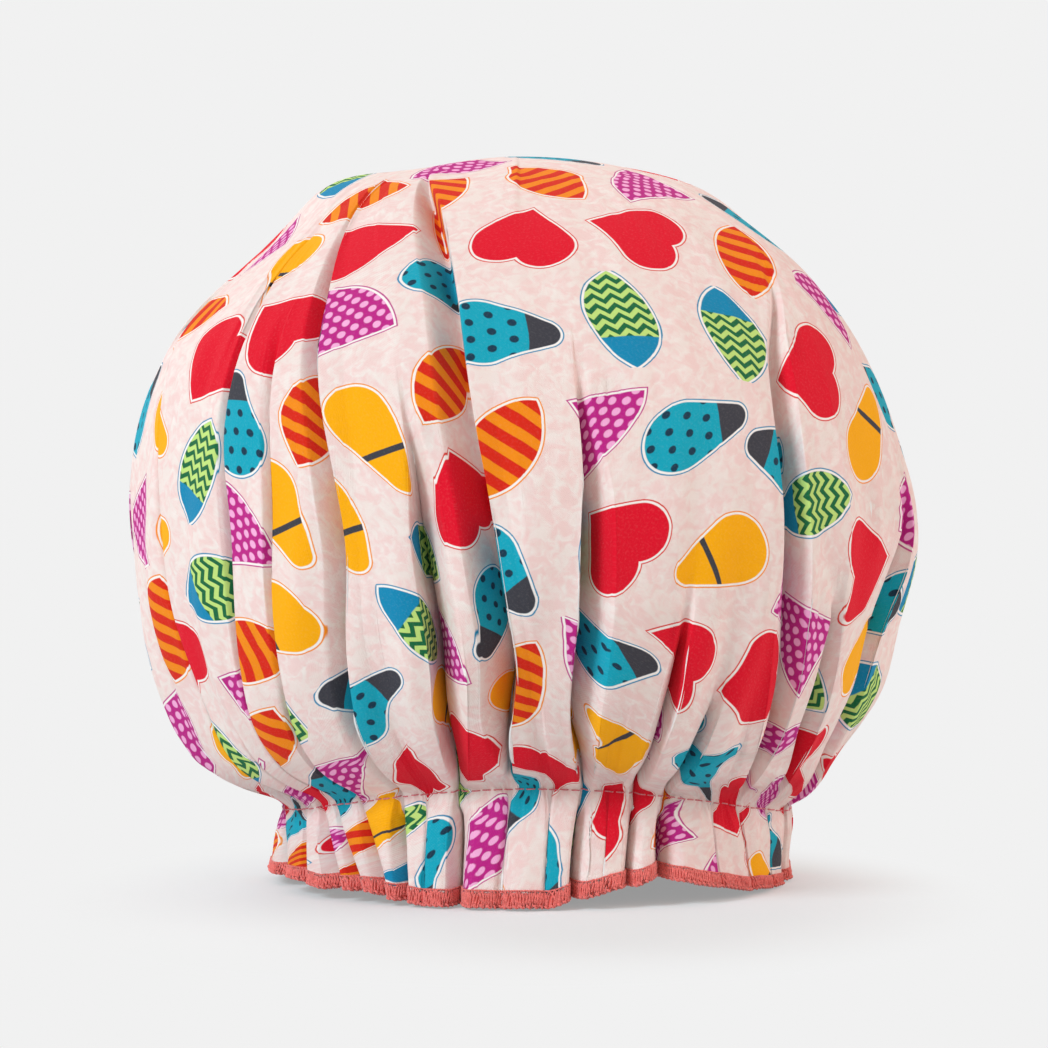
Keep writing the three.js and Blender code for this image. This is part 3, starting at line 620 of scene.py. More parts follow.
def lattice_mesh(name, points, flat, run):
    """A mesh of rings of columns, fewer near the crown, closed there by a fan round its middle."""
    rings, columns = points.shape[:2]
    keep = np.ones(rings, int)
    for reach, step in CROWN_STEPS[::-1]:
        keep[run < reach] = step
    starts = np.concatenate([[0], np.cumsum(columns // keep)])
    vertices = np.concatenate([points[ring, ::keep[ring]] for ring in range(rings)] + [[points[0].mean(0)]])
    places = np.concatenate([flat[ring, ::keep[ring]] for ring in range(rings)] + [np.zeros((1, 2))])
    faces = []
    for ring in range(rings - 1):
        above = columns // keep[ring]
        below = columns // keep[ring + 1]
        ratio = below // above
        for column in range(above):
            lower = [starts[ring + 1] + (column * ratio + j) % below for j in range(ratio + 1)]
            faces.append([starts[ring] + column, *lower, starts[ring] + (column + 1) % above])
    first = columns // keep[0]
    faces.extend([len(vertices) - 1, column, (column + 1) % first] for column in range(first))
    piece = mesh_piece(name, vertices, faces)
    corners = np.empty(len(piece.data.loops), np.int32)
    piece.data.loops.foreach_get("vertex_index", corners)
    layer = piece.data.uv_layers.new(name="flat")
    layer.data.foreach_set("uv", places[corners].astype(np.float32).ravel())
    return piece


class Field:
    """A number that varies over a surface, made by a chain of math nodes."""

    def __init__(self, tree, socket):
        self.tree = tree
        self.socket = socket

    def apply(self, operation, *others):
        node = new_node(self.tree, "Math", enumerate((self, *others)), operation=operation)
        return Field(self.tree, node.outputs[0])

    __add__ = partialmethod(apply, "ADD")
    __sub__ = partialmethod(apply, "SUBTRACT")
    __mul__ = partialmethod(apply, "MULTIPLY")
    __truediv__ = partialmethod(apply, "DIVIDE")
    __neg__ = partialmethod(apply, "MULTIPLY", -1)
    __abs__ = partialmethod(apply, "ABSOLUTE")
    floor = partialmethod(apply, "FLOOR")
    fraction = partialmethod(apply, "FRACT")
    least = partialmethod(apply, "MINIMUM")
    most = partialmethod(apply, "MAXIMUM")
    cos = partialmethod(apply, "COSINE")
    sin = partialmethod(apply, "SINE")
    near = partialmethod(apply, "COMPARE")

    def below(self, edge, softness):
        """1 where the field is below the edge, 0 above it, softened."""
        limits = {"From Min": edge - softness, "From Max": edge + softness, "To Min": 1, "To Max": 0}
        node = new_node(self.tree, "MapRange", {"Value": self, **limits}, interpolation_type="SMOOTHSTEP")
        return Field(self.tree, node.outputs["Result"])

    def wrap(self, size):
        """The field's distance from the middle of its cell, in cells of a size."""
        return self - ((self / size).floor() + 0.5) * size


def new_node(tree, kind, inputs=(), **settings):
    """A shader node with its settings, and its inputs linked or set."""
    node = tree.nodes.new("ShaderNode" + kind)
    for name, value in settings.items():
        setattr(node, name, value)
    for slot, item in dict(inputs).items():
        if isinstance(item, Field):
            item = item.socket
        if isinstance(item, bpy.types.NodeSocket):
            tree.links.new(item, node.inputs[slot])
        else:
            node.inputs[slot].default_value = item
    return node


def hypot(x, y):
    return (x * x + y * y).apply("SQRT")


def blend(tree, share, under, over):
    """Colour over laid on colour under by a share."""
    under, over = ((*item, 1) if isinstance(item, tuple) else item for item in (under, over))
    node = new_node(tree, "Mix", {0: share, 6: under, 7: over}, data_type="RGBA", clamp_factor=True)
    return node.outputs[2]


def linear(red, green, blue):
    """A screen colour, 0 to 255, as linear light."""
    return tuple(
        c / 12.92 if c <= 0.04045 else ((c + 0.055) / 1.055) ** 2.4
        for c in (red / 255, green / 255, blue / 255)
    )


SPECULAR = 0.2
SHEEN_ROUGHNESS = 0.6


def new_material(name, roughness, sheen=0.0):
    """A material with its tree and its main shader."""
    material = bpy.data.materials.new(name)
    material.use_nodes = True
    shader = material.node_tree.nodes["Principled BSDF"]
    shader.inputs["Roughness"].default_value = roughness
    shader.inputs["Specular IOR Level"].default_value = SPECULAR
    shader.inputs["Sheen Weight"].default_value = sheen
    shader.inputs["Sheen Roughness"].default_value = SHEEN_ROUGHNESS
    return material, material.node_tree, shader


def noise(tree, place, size, detail, distortion=0.0):
    """Cloudy noise, 0 to 1, with clouds of a size."""
    inputs = {"Vector": place, "Scale": 1 / size, "Detail": detail, "Distortion": distortion}
    return Field(tree, new_node(tree, "TexNoise", inputs).outputs["Fac"])


def object_place(tree):
    return new_node(tree, "TexCoord").outputs["Object"]


def split(tree, place):
    """A place's X and Y."""
    parts = new_node(tree, "SeparateXYZ", {0: place})
    return Field(tree, parts.outputs["X"]), Field(tree, parts.outputs["Y"])


def surface(tree, shader, tone, height, distance):
    """A colour, and fine relief from a height field of 0 to 1."""
    relief = new_node(tree, "Bump", {"Strength": 1, "Distance": distance, "Height": height})
    tree.links.new(tone, shader.inputs["Base Color"])
    tree.links.new(relief.outputs["Normal"], shader.inputs["Normal"])


# The print, lengths in millimetres of flat cloth: layout, then motifs before MOTIF_SCALE, and the ground
MOTIF_SPACING = 33
MOTIF_SLANT = math.radians(24)
MOTIF_SHIFT = 1.0
MOTIF_SCALE = 1.16
ROW_SHIFT = 0.618
KIND_CHANCE = 1.9
KINDS = 6
EDGE_SOFTNESS = 0.12
HALO_WIDTH = 0.55
LINE_WIDTH = 0.3
DIAGONAL = 0.7071
HEART_LOBE = 7.2
HEART_DROP = 2.4
PEAR_ROUND = 8.6
PEAR_TIP = 3.4
PEAR_LENGTH = 14
PEAR_DROP = 4.5
LEAF_RADIUS = 17.2
LEAF_OFFSET = 9.6
FAN_RADIUS = 20
FAN_DROP = 9
FAN_SIDE = (0.79, 0.61, 6.6)
STRIPE_PITCH = 5.2
ZIGZAG_WIDTH = 4.4
ZIGZAG_STEEPNESS = 0.9
ZIGZAG_PITCH = 3.0
DOT_PITCH = 3.0
TEAL_DOTS_WIDER = 1.7
DOT_RADIUS = 1.0
TIP_FROM = 5.6
BELT_AT = 3.2
BELT_WIDTH = 1.4
CLOUD_SIZE = 11
FLECK_SIZE = 3.2
SLUB_SIZE = 0.7
WEAVE_PITCH = 0.55
RIM_WIDTH = 3.4

# Colours
GROUND = linear(241, 226, 220)
GROUND_PALE = linear(246, 237, 232)
GROUND_ROSE = linear(240, 196, 193)
WHITE = linear(250, 244, 240)
RED = linear(226, 6, 40)
YELLOW = linear(254, 176, 0)
ORANGE = linear(244, 140, 14)
STRIPE_RED = linear(218, 36, 14)
MAGENTA = linear(190, 32, 134)
PALE_PINK = linear(246, 176, 220)
TEAL = linear(12, 166, 190)
NAVY = linear(18, 56, 78)
CHARCOAL = linear(62, 62, 70)
PALE_GREEN = linear(194, 226, 126)
DARK_GREEN = linear(20, 104, 62)
BLUE = linear(10, 136, 180)
WHITE_THREAD = linear(240, 236, 230)
SEAM_THREAD = linear(216, 112, 122)
CORAL = linear(240, 110, 102)
FILM_PALE = linear(246, 244, 242)
# Painted shade for the dips of the film's crinkles
FILM_PAINTED_SHADE = linear(232, 229, 228)
ELASTIC_PALE = linear(247, 245, 241)
# Painted shade for the hollows of the elastic's knit
ELASTIC_PAINTED_SHADE = linear(222, 219, 214)

# The film's crinkles and the elastic's knit
CRINKLE_SIZE = 5 * MM
KNIT_PITCH = 1.1 * MM
KNIT_FUZZ = 0.8 * MM


def printed_cotton():
    """Bright motifs scattered on a mottled pink ground, on plain-woven cotton."""
    material, tree, shader = new_material("printed_cotton", 0.9, 0.03)
    metres = new_node(tree, "UVMap", uv_map="flat").outputs["UV"]
    scaled = new_node(tree, "VectorMath", {0: metres, "Scale": 1 / MM}, operation="SCALE")
    place = scaled.outputs["Vector"]
    u, v = split(tree, place)

    # Cells in rows, each row shifted by its own amount
    across = u * math.cos(MOTIF_SLANT) + v * math.sin(MOTIF_SLANT)
    up = v * math.cos(MOTIF_SLANT) - u * math.sin(MOTIF_SLANT)
    row = (up / MOTIF_SPACING).floor()
    across = across + (row * ROW_SHIFT).fraction() * MOTIF_SPACING
    column = (across / MOTIF_SPACING).floor()
    cell = new_node(tree, "CombineXYZ", {"X": column, "Y": row})
    chance = new_node(tree, "TexWhiteNoise", {"Vector": cell.outputs[0]}, noise_dimensions="2D")
    draws = new_node(tree, "SeparateColor", {0: chance.outputs["Color"]})
    red, green, blue = (Field(tree, draws.outputs[name]) for name in ("Red", "Green", "Blue"))
    turn = Field(tree, chance.outputs["Value"]) * TURN
    shift_x = (red - 0.5) * (2 * MOTIF_SHIFT)
    shift_y = (green - 0.5) * (2 * MOTIF_SHIFT)
    number = (column + row * 2 + blue * KIND_CHANCE).floor()
    kind = (number / KINDS).fraction() * KINDS
    from_x = across.wrap(MOTIF_SPACING) - shift_x
    from_y = up.wrap(MOTIF_SPACING) - shift_y
    cosine = turn.cos()
    sine = turn.sin()
    x = (from_x * cosine + from_y * sine) / MOTIF_SCALE
    y = (from_y * cosine - from_x * sine) / MOTIF_SCALE
    side = abs(x)

    # Distance outside each outline
    heart_up = y + HEART_DROP
    square = abs(side + heart_up).most(abs(side - heart_up)) * DIAGONAL - HEART_LOBE
    lobe_at = HEART_LOBE * DIAGONAL
    heart = square.least(hypot(side - lobe_at, heart_up - lobe_at) - HEART_LOBE)
    # A pear: a large round and a small one, and the taper between them
    taper = (PEAR_ROUND - PEAR_TIP) / PEAR_LENGTH
    across_taper = math.sqrt(1 - taper * taper)
    from_low = y + PEAR_DROP
    along_flank = from_low * across_taper - side * taper
    flank = side * across_taper + from_low * taper - PEAR_ROUND
    flank = flank.most(-along_flank).most(along_flank - PEAR_LENGTH * across_taper)
    pear = (hypot(x, from_low) - PEAR_ROUND).least(flank)
    pear = pear.least(hypot(x, from_low - PEAR_LENGTH) - PEAR_TIP)
    leaf = hypot(side + LEAF_OFFSET, y) - LEAF_RADIUS
    fan = side * FAN_SIDE[0] - y * FAN_SIDE[1] - FAN_SIDE[2]
    fan = (hypot(x, y + FAN_DROP) - FAN_RADIUS).most(fan)
    masks = [kind.near(number, 0.5) for number in range(KINDS)]
    is_red, is_yellow, is_orange, is_magenta, is_teal, is_green = masks
    outline = (heart * is_red + pear * (is_yellow + is_teal)
               + leaf * (is_orange + is_green) + fan * is_magenta)

    # Fillings
    bands = y / STRIPE_PITCH
    stripes = abs(bands - bands.floor() - 0.5).below(0.26, 0.03)
    chevrons = (abs(x.wrap(ZIGZAG_WIDTH)) * ZIGZAG_STEEPNESS + y) / ZIGZAG_PITCH
    zigzag = abs(chevrons - chevrons.floor() - 0.5).below(0.25, 0.04)
    pitch = is_teal * TEAL_DOTS_WIDER + DOT_PITCH
    dot_row = (y / pitch).floor()
    dot_x = x + dot_row.apply("MODULO", 2) * pitch * 0.5
    dots = hypot(dot_x.wrap(pitch), y.wrap(pitch)).below(DOT_RADIUS, 0.16)
    colour = blend(tree, is_yellow, RED, YELLOW)
    for mask, *filling in ((is_orange, stripes, ORANGE, STRIPE_RED), (is_magenta, dots, MAGENTA, PALE_PINK),
                           (is_teal, dots, TEAL, NAVY), (is_green, zigzag, PALE_GREEN, DARK_GREEN)):
        colour = blend(tree, mask, colour, blend(tree, *filling))
    tip = y.below(TIP_FROM, 0.15)
    colour = blend(tree, (is_teal + is_green) * ((-tip) + 1), colour,
                   blend(tree, is_green, CHARCOAL, BLUE))
    belt = abs(y - BELT_AT).below(BELT_WIDTH / 2, 0.12) * is_yellow
    colour = blend(tree, belt, colour, CHARCOAL)
    line = blend(tree, is_yellow, STRIPE_RED, ORANGE)
    for mask, tone in ((is_orange, ORANGE), (is_magenta, MAGENTA), (is_teal + is_green, BLUE)):
        line = blend(tree, mask, line, tone)

    # Ground, halo, line and motif
    cloud = noise(tree, place, CLOUD_SIZE, 3, 0.8)
    fleck = noise(tree, place, FLECK_SIZE, 4, 0.8)
    ground = blend(tree, cloud.below(0.5, 0.2), GROUND, GROUND_PALE)
    ground = blend(tree, (fleck * 0.6 + cloud * 0.4).below(0.5, 0.12) * 0.62, ground, GROUND_ROSE)
    colour = blend(tree, outline.below(0, EDGE_SOFTNESS), line, colour)
    halo = abs(outline - HALO_WIDTH / 2).below(HALO_WIDTH / 2, EDGE_SOFTNESS)
    reach = outline.below(HALO_WIDTH + LINE_WIDTH, EDGE_SOFTNESS)
    printed = blend(tree, reach, ground, colour)
    printed = blend(tree, halo, printed, WHITE)
    slub = noise(tree, place, SLUB_SIZE, 3)
    printed = blend(tree, (slub - 0.5) * 0.12, printed, WHITE)
    rim = hypot(u, v).below(HEM_RUN / MM - RIM_WIDTH, 0.8)
    printed = blend(tree, rim, CORAL, printed)
    weave = (u * (TURN / WEAVE_PITCH)).sin() * (v * (TURN / WEAVE_PITCH)).sin()
    surface(tree, shader, printed, weave * 0.25 + slub, 0.16 * MM)
    return material


def thread(name, colour, size):
    """Soft sewing thread, with a fine twist, with a painted highlight on its raised fuzz and painted shade in
    its hollows.
    """
    material, tree, shader = new_material(name, 0.8, 0.3)
    fuzz = noise(tree, object_place(tree), size, 3)
    # Lit and shaded copies of the thread's colour: painted highlight where the fuzz relief is high, painted
    # shade where it is low
    painted_shade = tuple(c * 0.72 for c in colour)
    pale = tuple(min(1, c * 1.15 + 0.03) for c in colour)
    surface(tree, shader, blend(tree, fuzz.below(0.5, 0.25), pale, painted_shade), fuzz, 0.15 * MM)
    return material


def lining_film():
    """Thin milky film, satin, finely crinkled, with painted shade in the dips of its crinkles."""
    material, tree, shader = new_material("lining_film", 0.42)
    crinkle = noise(tree, object_place(tree), CRINKLE_SIZE, 4, 0.6)
    # Darker where the crinkle relief is low: painted shade in its dips
    tone = blend(tree, crinkle.below(0.5, 0.3), FILM_PALE, FILM_PAINTED_SHADE)
    surface(tree, shader, tone, crinkle, 0.5 * MM)
    return material


def knitted_elastic():
    """White knitted elastic, with a fine knit and painted shade in the hollows of its knit."""
    material, tree, shader = new_material("elastic", 0.75, 0.15)
    place = object_place(tree)
    x, y = split(tree, place)
    knit = (x * (TURN / KNIT_PITCH)).sin() * (y * (TURN / KNIT_PITCH)).sin()
    relief = knit * 0.3 + noise(tree, place, KNIT_FUZZ, 2)
    # Darker where the knit relief is low: painted shade in its hollows
    tone = blend(tree, relief.below(0.5, 0.4), ELASTIC_PALE, ELASTIC_PAINTED_SHADE)
    surface(tree, shader, tone, relief, 0.15 * MM)
    return material


class Sheet:
    """A grid of points on the cloth, to be found by run and column."""

    def __init__(self, run, points):
        self.run = run
        self.points = points
        self.normals = normals_of(points)
        self.columns = points.shape[1]

    def at(self, run, column, lift):
        """Points at runs and columns, lifted off the outer face."""
        ring = np.clip(np.interp(run, self.run, np.arange(len(self.run))), 0, len(self.run) - 1.001)
        low = ring.astype(int)
        column = np.mod(column, self.columns)
        left = column.astype(int) % self.columns
        right = (left + 1) % self.columns
        up = (ring - low)[..., None]
        side = (column - np.floor(column))[..., None]

        def mix(grid):
            upper = grid[low, left] * (1 - side) + grid[low, right] * side
            lower = grid[low + 1, left] * (1 - side) + grid[low + 1, right] * side
            return upper * (1 - up) + lower * up

        return mix(self.points) + mix(self.normals) * np.asarray(lift)[..., None]

    def ring(self, run):
        """The closed line of points round the sheet at a run."""
        columns = np.arange(self.columns + 1.0)
        return self.at(np.full(len(columns), run), columns, np.zeros(len(columns)))

    def columns_by_length(self, run, length):
        """Columns at even steps of a length round the ring at a run."""
        gone = np.concatenate([[0], np.cumsum(np.linalg.norm(np.diff(self.ring(run), axis=0), axis=1))])
        count = int(gone[-1] / length)
        return np.interp(np.arange(count) * gone[-1] / count, gone, np.arange(self.columns + 1.0))


def unit(vectors):
    return vectors / np.maximum(np.linalg.norm(vectors, axis=-1, keepdims=True), 1e-12)


def normals_of(points):
    """Outward unit normals of a closed grid of rings."""
    round_it = np.roll(points, -1, 1) - np.roll(points, 1, 1)
    return unit(np.cross(np.gradient(points, axis=0), round_it))


def add_object(name, data):
    piece = bpy.data.objects.new(name, data)
    bpy.context.scene.collection.objects.link(piece)
    return piece


def mesh_piece(name, vertices, faces):
    mesh = bpy.data.meshes.new(name)
    mesh.from_pydata(vertices, [], faces)
    mesh.polygons.foreach_set("use_smooth", np.ones(len(mesh.polygons), bool))
    return add_object(name, mesh)


# A direction that no thread runs along, and how far a thread's ends stand out, in its radius
ASIDE = np.array([0.31, 0.17, 0.93])
PINCHED_END = 0.7


def tubes(name, paths, radius, sides=6):
    """One piece made of round threads along paths of points, with pinched ends."""
    vertices = []
    faces = []
    angles = (np.arange(sides) * TURN / sides)[:, None]
    for path in paths:
        path = np.asarray(path, float)
        along = unit(np.gradient(path, axis=0))
        first = unit(np.cross(along, ASIDE))
        second = np.cross(along, first)
        ring = np.cos(angles) * first[:, None] + np.sin(angles) * second[:, None]
        body = path[:, None] + radius * ring
        start = len(vertices)
        vertices.append(path[0] - along[0] * radius * PINCHED_END)
        vertices.extend(body.reshape(-1, 3))
        vertices.append(path[-1] + along[-1] * radius * PINCHED_END)
        last = len(path) - 1
        for side in range(sides):
            beside = (side + 1) % sides
            faces.append((start, start + 1 + beside, start + 1 + side))
            for step in range(last):
                here = start + 1 + step * sides
                faces.append((here + side, here + beside, here + sides + beside, here + sides + side))
            end = start + 1 + last * sides
            faces.append((end + side, end + beside, end + sides))
    return mesh_piece(name, vertices, faces)


def dress(piece, material, slot, *nodes):
    """Gives a piece its material and its place in the frame."""
    piece.data.materials.append(material)
    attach(piece, "root")
    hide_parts(*nodes)
    return piece


# Cloth and lining
LINING_OFFSET = 0.5 * MM
LINING_SHORTER = 0.3
run, points, flat = cloth()
cloth_sheet = Sheet(run, points)
shell = lattice_mesh("printed_cloth", points, flat, run)
dress(shell, printed_cotton(), "printed_cotton", "outer_shell")
lining_points = (points - cloth_sheet.normals * LINING_OFFSET)[:, ::2]
lining_points[-1] += (lining_points[-2] - lining_points[-1]) * LINING_SHORTER
lining = lattice_mesh("lining", lining_points, flat[:, ::2], run)
dress(lining, lining_film(), "lining_film", "waterproof_lining")

# Elastic, with its join and overlap in degrees
ELASTIC_THICKNESS = 1 * MM
ELASTIC_INSET = 0.1 * MM
ELASTIC_JOIN = 172
ELASTIC_OVERLAP = 13
ELASTIC_STEP = 10
ELASTIC_POINTS = 540
LAP_GAP = 0.25 * MM
ELASTIC_CORDS = 7
CORD_POINTS = 6
CORD_RELIEF = 0.25

# Ripples of the elastic, as (size, count, phase)
ELASTIC_RIPPLES = ((0.12 * MM, 97, 0), (0.1 * MM, 61, 1))

# The zigzag across its join: turns, points for each, its start and what it leaves of the overlap in degrees,
# its reach in widths of the elastic, how far in it lies and its thread
ZIGZAG_TURNS = 7
ZIGZAG_POINTS = 6
ZIGZAG_START = 2
ZIGZAG_LEAVES = 3.5
ZIGZAG_REACH = 0.36
ZIGZAG_INSET = 0.45 * MM
ZIGZAG_THREAD_RADIUS = 0.3 * MM


def ring_point(radius, bearing, lift=0.0):
    """Points at bearings, on the gather line and above it."""
    return polar(radius, bearing, gather_height(bearing) + lift) + [WAIST_SHIFT, 0, 0]


def elastic_band():
    """One strip of elastic round the inside, its end lapped over its start."""
    bearings = np.radians(np.linspace(ELASTIC_JOIN, ELASTIC_JOIN + 360 + ELASTIC_OVERLAP, ELASTIC_POINTS))
    lapped = smoothstep(360 - ELASTIC_STEP, 360, np.degrees(bearings) - ELASTIC_JOIN)
    radius = ELASTIC_OUTSIDE - ELASTIC_INSET - lapped * (ELASTIC_THICKNESS + LAP_GAP)
    radius = radius - ELASTIC_THICKNESS / 2
    # Section: cords along both faces, and rounded edges
    level = np.linspace(-1, 1, ELASTIC_CORDS * CORD_POINTS)
    cords = 0.5 + 0.5 * np.abs(np.sin(level * ELASTIC_CORDS * math.pi / 2))
    rounded = np.minimum(1, 2.2 * (1 - level ** 10))
    face = ELASTIC_THICKNESS / 2 * (1 - CORD_RELIEF + CORD_RELIEF * cords) * rounded
    section_out = np.concatenate([face, -face[::-1]])
    section_up = np.concatenate([level, level[::-1]]) * ELASTIC_WIDTH / 2
    ripple = sum(size * np.sin(bearings * count + phase) for size, count, phase in ELASTIC_RIPPLES)
    away = radius[:, None] + section_out + ripple[:, None]
    vertices = ring_point(away, bearings[:, None], section_up)
    around = vertices.shape[1]
    faces = []
    for step in range(len(bearings) - 1):
        for corner in range(around):
            beside = (corner + 1) % around
            here = step * around
            faces.append((here + corner, here + beside, here + around + beside, here + around + corner))
    faces.append(tuple(range(around))[::-1])
    faces.append(tuple(range((len(bearings) - 1) * around, len(bearings) * around)))
    return mesh_piece("elastic", vertices.reshape(-1, 3).tolist(), faces)


dress(elastic_band(), knitted_elastic(), "elastic", "elastic_band")


def join_stitching():
    """A zigzag across the lapped ends of the elastic, on its inside."""
    share = np.linspace(0, 1, ZIGZAG_TURNS * ZIGZAG_POINTS + 1)
    bearing = np.radians(ELASTIC_JOIN + ZIGZAG_START + share * (ELASTIC_OVERLAP - ZIGZAG_LEAVES))
    lift = (np.abs((share * ZIGZAG_TURNS) % 2 - 1) * 2 - 1) * ELASTIC_WIDTH * ZIGZAG_REACH
    radius = ELASTIC_OUTSIDE - 2 * ELASTIC_THICKNESS - ZIGZAG_INSET
    return tubes("elastic_zigzag", [ring_point(radius, bearing, lift)], ZIGZAG_THREAD_RADIUS)


join_thread = thread("join_thread", WHITE_THREAD, 0.4 * MM)
dress(join_stitching(), join_thread, "join_thread", "elastic_join_stitching")

# Gathering stitches
STITCH_LENGTH = 2.3 * MM
STITCH_GAP = 0.8 * MM
STITCH_POINTS = 6
STITCH_CHANCE = 0.06
STITCH_WAVER = 0.15
STITCH_SAG = 0.25 * MM
STITCH_LIFT = 0.22 * MM
STITCH_STANDS_OUT = 0.4 * MM
BOBBIN_INSET = 0.3 * MM
SEAM_THREAD_RADIUS = 0.2 * MM


def outermost(bearings):
    """Radius and height of the cloth where it lies furthest out along the gather line, at bearings."""
    ring = cloth_sheet.ring(GATHER_RUN)
    angle = np.unwrap(np.arctan2(ring[:, 0], -ring[:, 1]))
    line = np.stack([np.hypot(ring[:, 0], ring[:, 1]), ring[:, 2]], -1)
    found = []
    for bearing in bearings:
        best = (0, 0)
        for wind in (-TURN, 0, TURN):
            first = angle[:-1] + wind - bearing
            second = angle[1:] + wind - bearing
            for j in np.nonzero(first * second <= 0)[0]:
                share = first[j] / (first[j] - second[j] + 1e-15)
                best = max(best, tuple(line[j] + (line[j + 1] - line[j]) * share))
        found.append(best)
    return np.array(found)


def gather_stitches(inside):
    """A row of dashes round the gather line, on the cloth or on the inside of the elastic."""
    pitch = STITCH_LENGTH + STITCH_GAP
    count = int(TURN * GATHER_RADIUS / pitch)
    rng = np.random.default_rng(8)
    paths = []
    for number in range(count):
        middle = (number + rng.uniform(-STITCH_CHANCE, STITCH_CHANCE)) * TURN / count
        half = STITCH_LENGTH / 2 / GATHER_RADIUS
        bearings = np.linspace(middle - half, middle + half, STITCH_POINTS)
        if inside:
            paths.append(ring_point(ELASTIC_OUTSIDE - ELASTIC_THICKNESS - BOBBIN_INSET, bearings))
            continue
        radius, height = outermost(bearings).T
        sag = np.linspace(-1, 1, STITCH_POINTS) ** 4 * STITCH_SAG
        radius = np.minimum(radius, np.median(radius) + STITCH_STANDS_OUT) + STITCH_LIFT - sag
        paths.append(polar(radius, bearings, height + rng.uniform(-STITCH_WAVER, STITCH_WAVER) * MM))
    return tubes("bobbin_stitches" if inside else "gather_stitches", paths, SEAM_THREAD_RADIUS)


seam_thread = thread("seam_thread", SEAM_THREAD, 0.4 * MM)
dress(gather_stitches(False), seam_thread, "seam_thread", "gather_needle_thread")
dress(gather_stitches(True), seam_thread, "seam_thread", "gather_bobbin_thread")

# Overlocked edge. A loop's points: their share of its length, of its depth and of its lift
OVERLOCK_PITCH = 0.8 * MM
OVERLOCK_RADIUS = 0.27 * MM
OVERLOCK_LIFT = 0.8 * OVERLOCK_RADIUS
OVERLOCK_SLANT = 2.2
OVERLOCK_DEPTH = 4.2 * MM
LOOP_ALONG = np.array([0, 0.12, 0.3, 0.52, 0.64, 0.76, 0.9, 1.0])
LOOP_DEPTH = np.array([0.1, -0.05, 0.35, 0.8, 1.0, 0.95, 0.55, 0.1])
LOOP_LIFT = np.array([0.4, 0.9, 1.1, 1.1, 1.0, 1.1, 1.1, 0.5])
LOOP_DEPTH_RANGE = (0.86, 1.04)
LOOP_CHANCE = 0.2
EDGE_TWIST = 1.9 * MM
EDGE_TWIST_RADIUS = 0.3 * MM
EDGE_TWIST_STEPS = 8
EDGE_TWIST_STRETCH = 1.5
EDGE_RADIUS = OVERLOCK_RADIUS * 1.3
NEEDLE_LIFT = 0.28 * MM
NEEDLE_RADIUS = 0.24 * MM


def overlock_loops(name, side):
    """Slanting loops of thread over the edge, on one face of the cloth."""
    rng = np.random.default_rng(20 + side)
    marks = cloth_sheet.columns_by_length(HEM_RUN, OVERLOCK_PITCH)
    lift = OVERLOCK_LIFT + (LINING_OFFSET if side < 0 else 0)
    paths = []
    for here, wide in zip(marks, np.diff(marks, append=marks[0] + cloth_sheet.columns)):
        top = OVERLOCK_DEPTH * rng.uniform(*LOOP_DEPTH_RANGE)
        column = here + wide * (LOOP_ALONG * OVERLOCK_SLANT + rng.uniform(-LOOP_CHANCE, LOOP_CHANCE))
        paths.append(cloth_sheet.at(HEM_RUN - top * LOOP_DEPTH, column, side * lift * LOOP_LIFT))
    return tubes(name, paths, OVERLOCK_RADIUS, 5)


def edge_thread():
    """The crossing of the two loopers, which runs round the cut edge."""
    marks = cloth_sheet.columns_by_length(HEM_RUN, EDGE_TWIST / EDGE_TWIST_STEPS)
    marks = np.append(marks, marks[0] + cloth_sheet.columns)
    turn = np.arange(len(marks)) * TURN / EDGE_TWIST_STEPS
    deep = HEM_RUN - EDGE_TWIST_RADIUS * (1 + np.cos(turn))
    line = cloth_sheet.at(deep, marks, EDGE_TWIST_RADIUS * EDGE_TWIST_STRETCH * np.sin(turn))
    return tubes("overlock_edge", [line], EDGE_RADIUS, 6)


def needle_line():
    """The line of stitches at the top of the overlocked edge."""
    run = HEM_RUN - OVERLOCK_DEPTH
    marks = cloth_sheet.columns_by_length(run, OVERLOCK_PITCH)
    share = np.linspace(0.1, 0.9, 5)
    lift = NEEDLE_LIFT * (1 - (2 * share - 1) ** 4)
    paths = []
    for here, wide in zip(marks, np.diff(marks, append=marks[0] + cloth_sheet.columns)):
        paths.append(cloth_sheet.at(np.full(len(share), run), here + wide * share, lift))
    return tubes("overlock_needle_line", paths, NEEDLE_RADIUS, 5)


overlock_thread = thread("overlock_thread", CORAL, 0.45 * MM)
outer_loops = dress(overlock_loops("overlock_outer_loops", 1), overlock_thread, "overlock_thread",
                    "overlock_outer_looper")
edge = dress(edge_thread(), overlock_thread, "overlock_thread", "overlock_outer_looper")
inner_loops = dress(overlock_loops("overlock_inner_loops", -1), overlock_thread, "overlock_thread",
                    "overlock_inner_looper")
needle = dress(needle_line(), overlock_thread, "overlock_thread", "overlock_needle_thread")

# Camera
CAMERA_PLACE = Vector((0.0012, -1.2, 0.147))
CAMERA_AIM = Vector((0.0012, 0, 0.1062))
CAMERA_ANGLE = math.radians(14.93)
camera_data = bpy.data.cameras.new("camera")
camera_data.sensor_width = 36
camera_data.angle = CAMERA_ANGLE
camera = add_object("camera", camera_data)
camera.location = CAMERA_PLACE
camera.rotation_euler = (CAMERA_AIM - CAMERA_PLACE).to_track_quat("-Z", "Y").to_euler()
bpy.context.scene.camera = camera

# Stage and light
BACKDROP = linear(241, 241, 241)
AMBIENT = (0.48, 0.37, 0.315)
FLOOR_SIZE = 8
FLOOR_TONE = (0.81, 0.862, 0.887)
FLOOR_GRAIN = 0.008
GRAIN_SIZE = 0.3
FLOOR_GLOW = 0.35
FLOOR_FADES = 0.105
FLOOR_FADE = 0.035
FLOOR_AHEAD = 0.05
FLOOR_SQUASH = 0.8

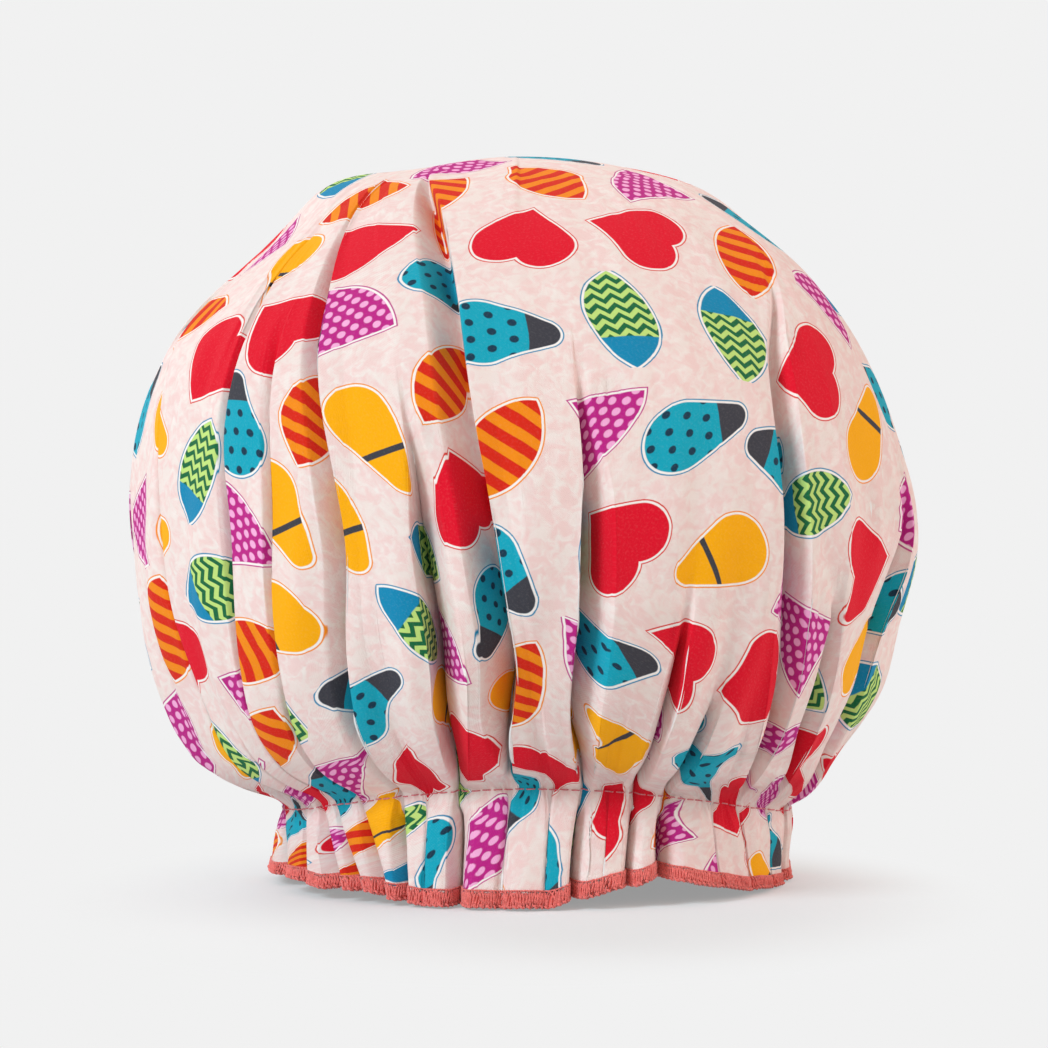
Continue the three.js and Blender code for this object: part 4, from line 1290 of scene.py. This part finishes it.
# Suns: strength, tint, the direction each comes from and how wide it is, in degrees
SUNS = {
    "key": (2.1, (0.78, 0.93, 1.0), (-0.6, -0.58, 0.54), 20),
    "fill": (1.15, (1.0, 0.93, 0.88), (0.92, -0.02, 0.4), 35),
    "back": (0.95, (0.95, 0.97, 1.0), (-0.45, 0.62, 0.6), 40),
}


def seen_directly(tree):
    """1 for what the camera, a gloss or a clear surface shows, 0 for light that falls on things."""
    rays = new_node(tree, "LightPath").outputs
    shown = Field(tree, rays["Is Camera Ray"]).most(Field(tree, rays["Is Glossy Ray"]))
    return shown.most(Field(tree, rays["Is Transmission Ray"]))


def backdrop_world():
    world = bpy.data.worlds.new("studio")
    bpy.context.scene.world = world
    world.use_nodes = True
    tree = world.node_tree
    background = tree.nodes["Background"]
    tone = blend(tree, seen_directly(tree), AMBIENT, BACKDROP)
    tree.links.new(tone, background.inputs["Color"])


def floor():
    """A pale floor that keeps the cap's shadow and fades into the backdrop."""
    bpy.ops.mesh.primitive_plane_add(size=FLOOR_SIZE)
    plane = bpy.context.object
    plane.name = "floor"
    material, tree, shader = new_material("floor", 1.0)
    shader.inputs["Specular IOR Level"].default_value = 0
    place = object_place(tree)
    x, y = split(tree, place)
    away = hypot(x, (y + FLOOR_AHEAD) * FLOOR_SQUASH)
    grain = noise(tree, place, GRAIN_SIZE, 2)
    tone = blend(tree, grain, FLOOR_TONE, tuple(c - FLOOR_GRAIN for c in FLOOR_TONE))
    tree.links.new(tone, shader.inputs["Base Color"])
    glow = new_node(tree, "Emission", {"Color": (*BACKDROP, 1)}).outputs[0]
    far = (-away.below(FLOOR_FADES, FLOOR_FADE)) * (1 - FLOOR_GLOW) + 1
    mix = new_node(tree, "MixShader", {0: far * seen_directly(tree), 1: shader.outputs[0], 2: glow})
    tree.links.new(mix.outputs[0], tree.nodes["Material Output"].inputs["Surface"])
    plane.data.materials.append(material)


def sun(name, strength, tint, source, width):
    data = bpy.data.lights.new(name, "SUN")
    data.energy = strength
    data.color = tint
    data.angle = math.radians(width)
    add_object(name, data).rotation_euler = (-Vector(source)).to_track_quat("-Z", "Y").to_euler()


backdrop_world()
floor()
for name, values in SUNS.items():
    sun(name, *values)
bpy.context.scene.view_settings.view_transform = "Standard"
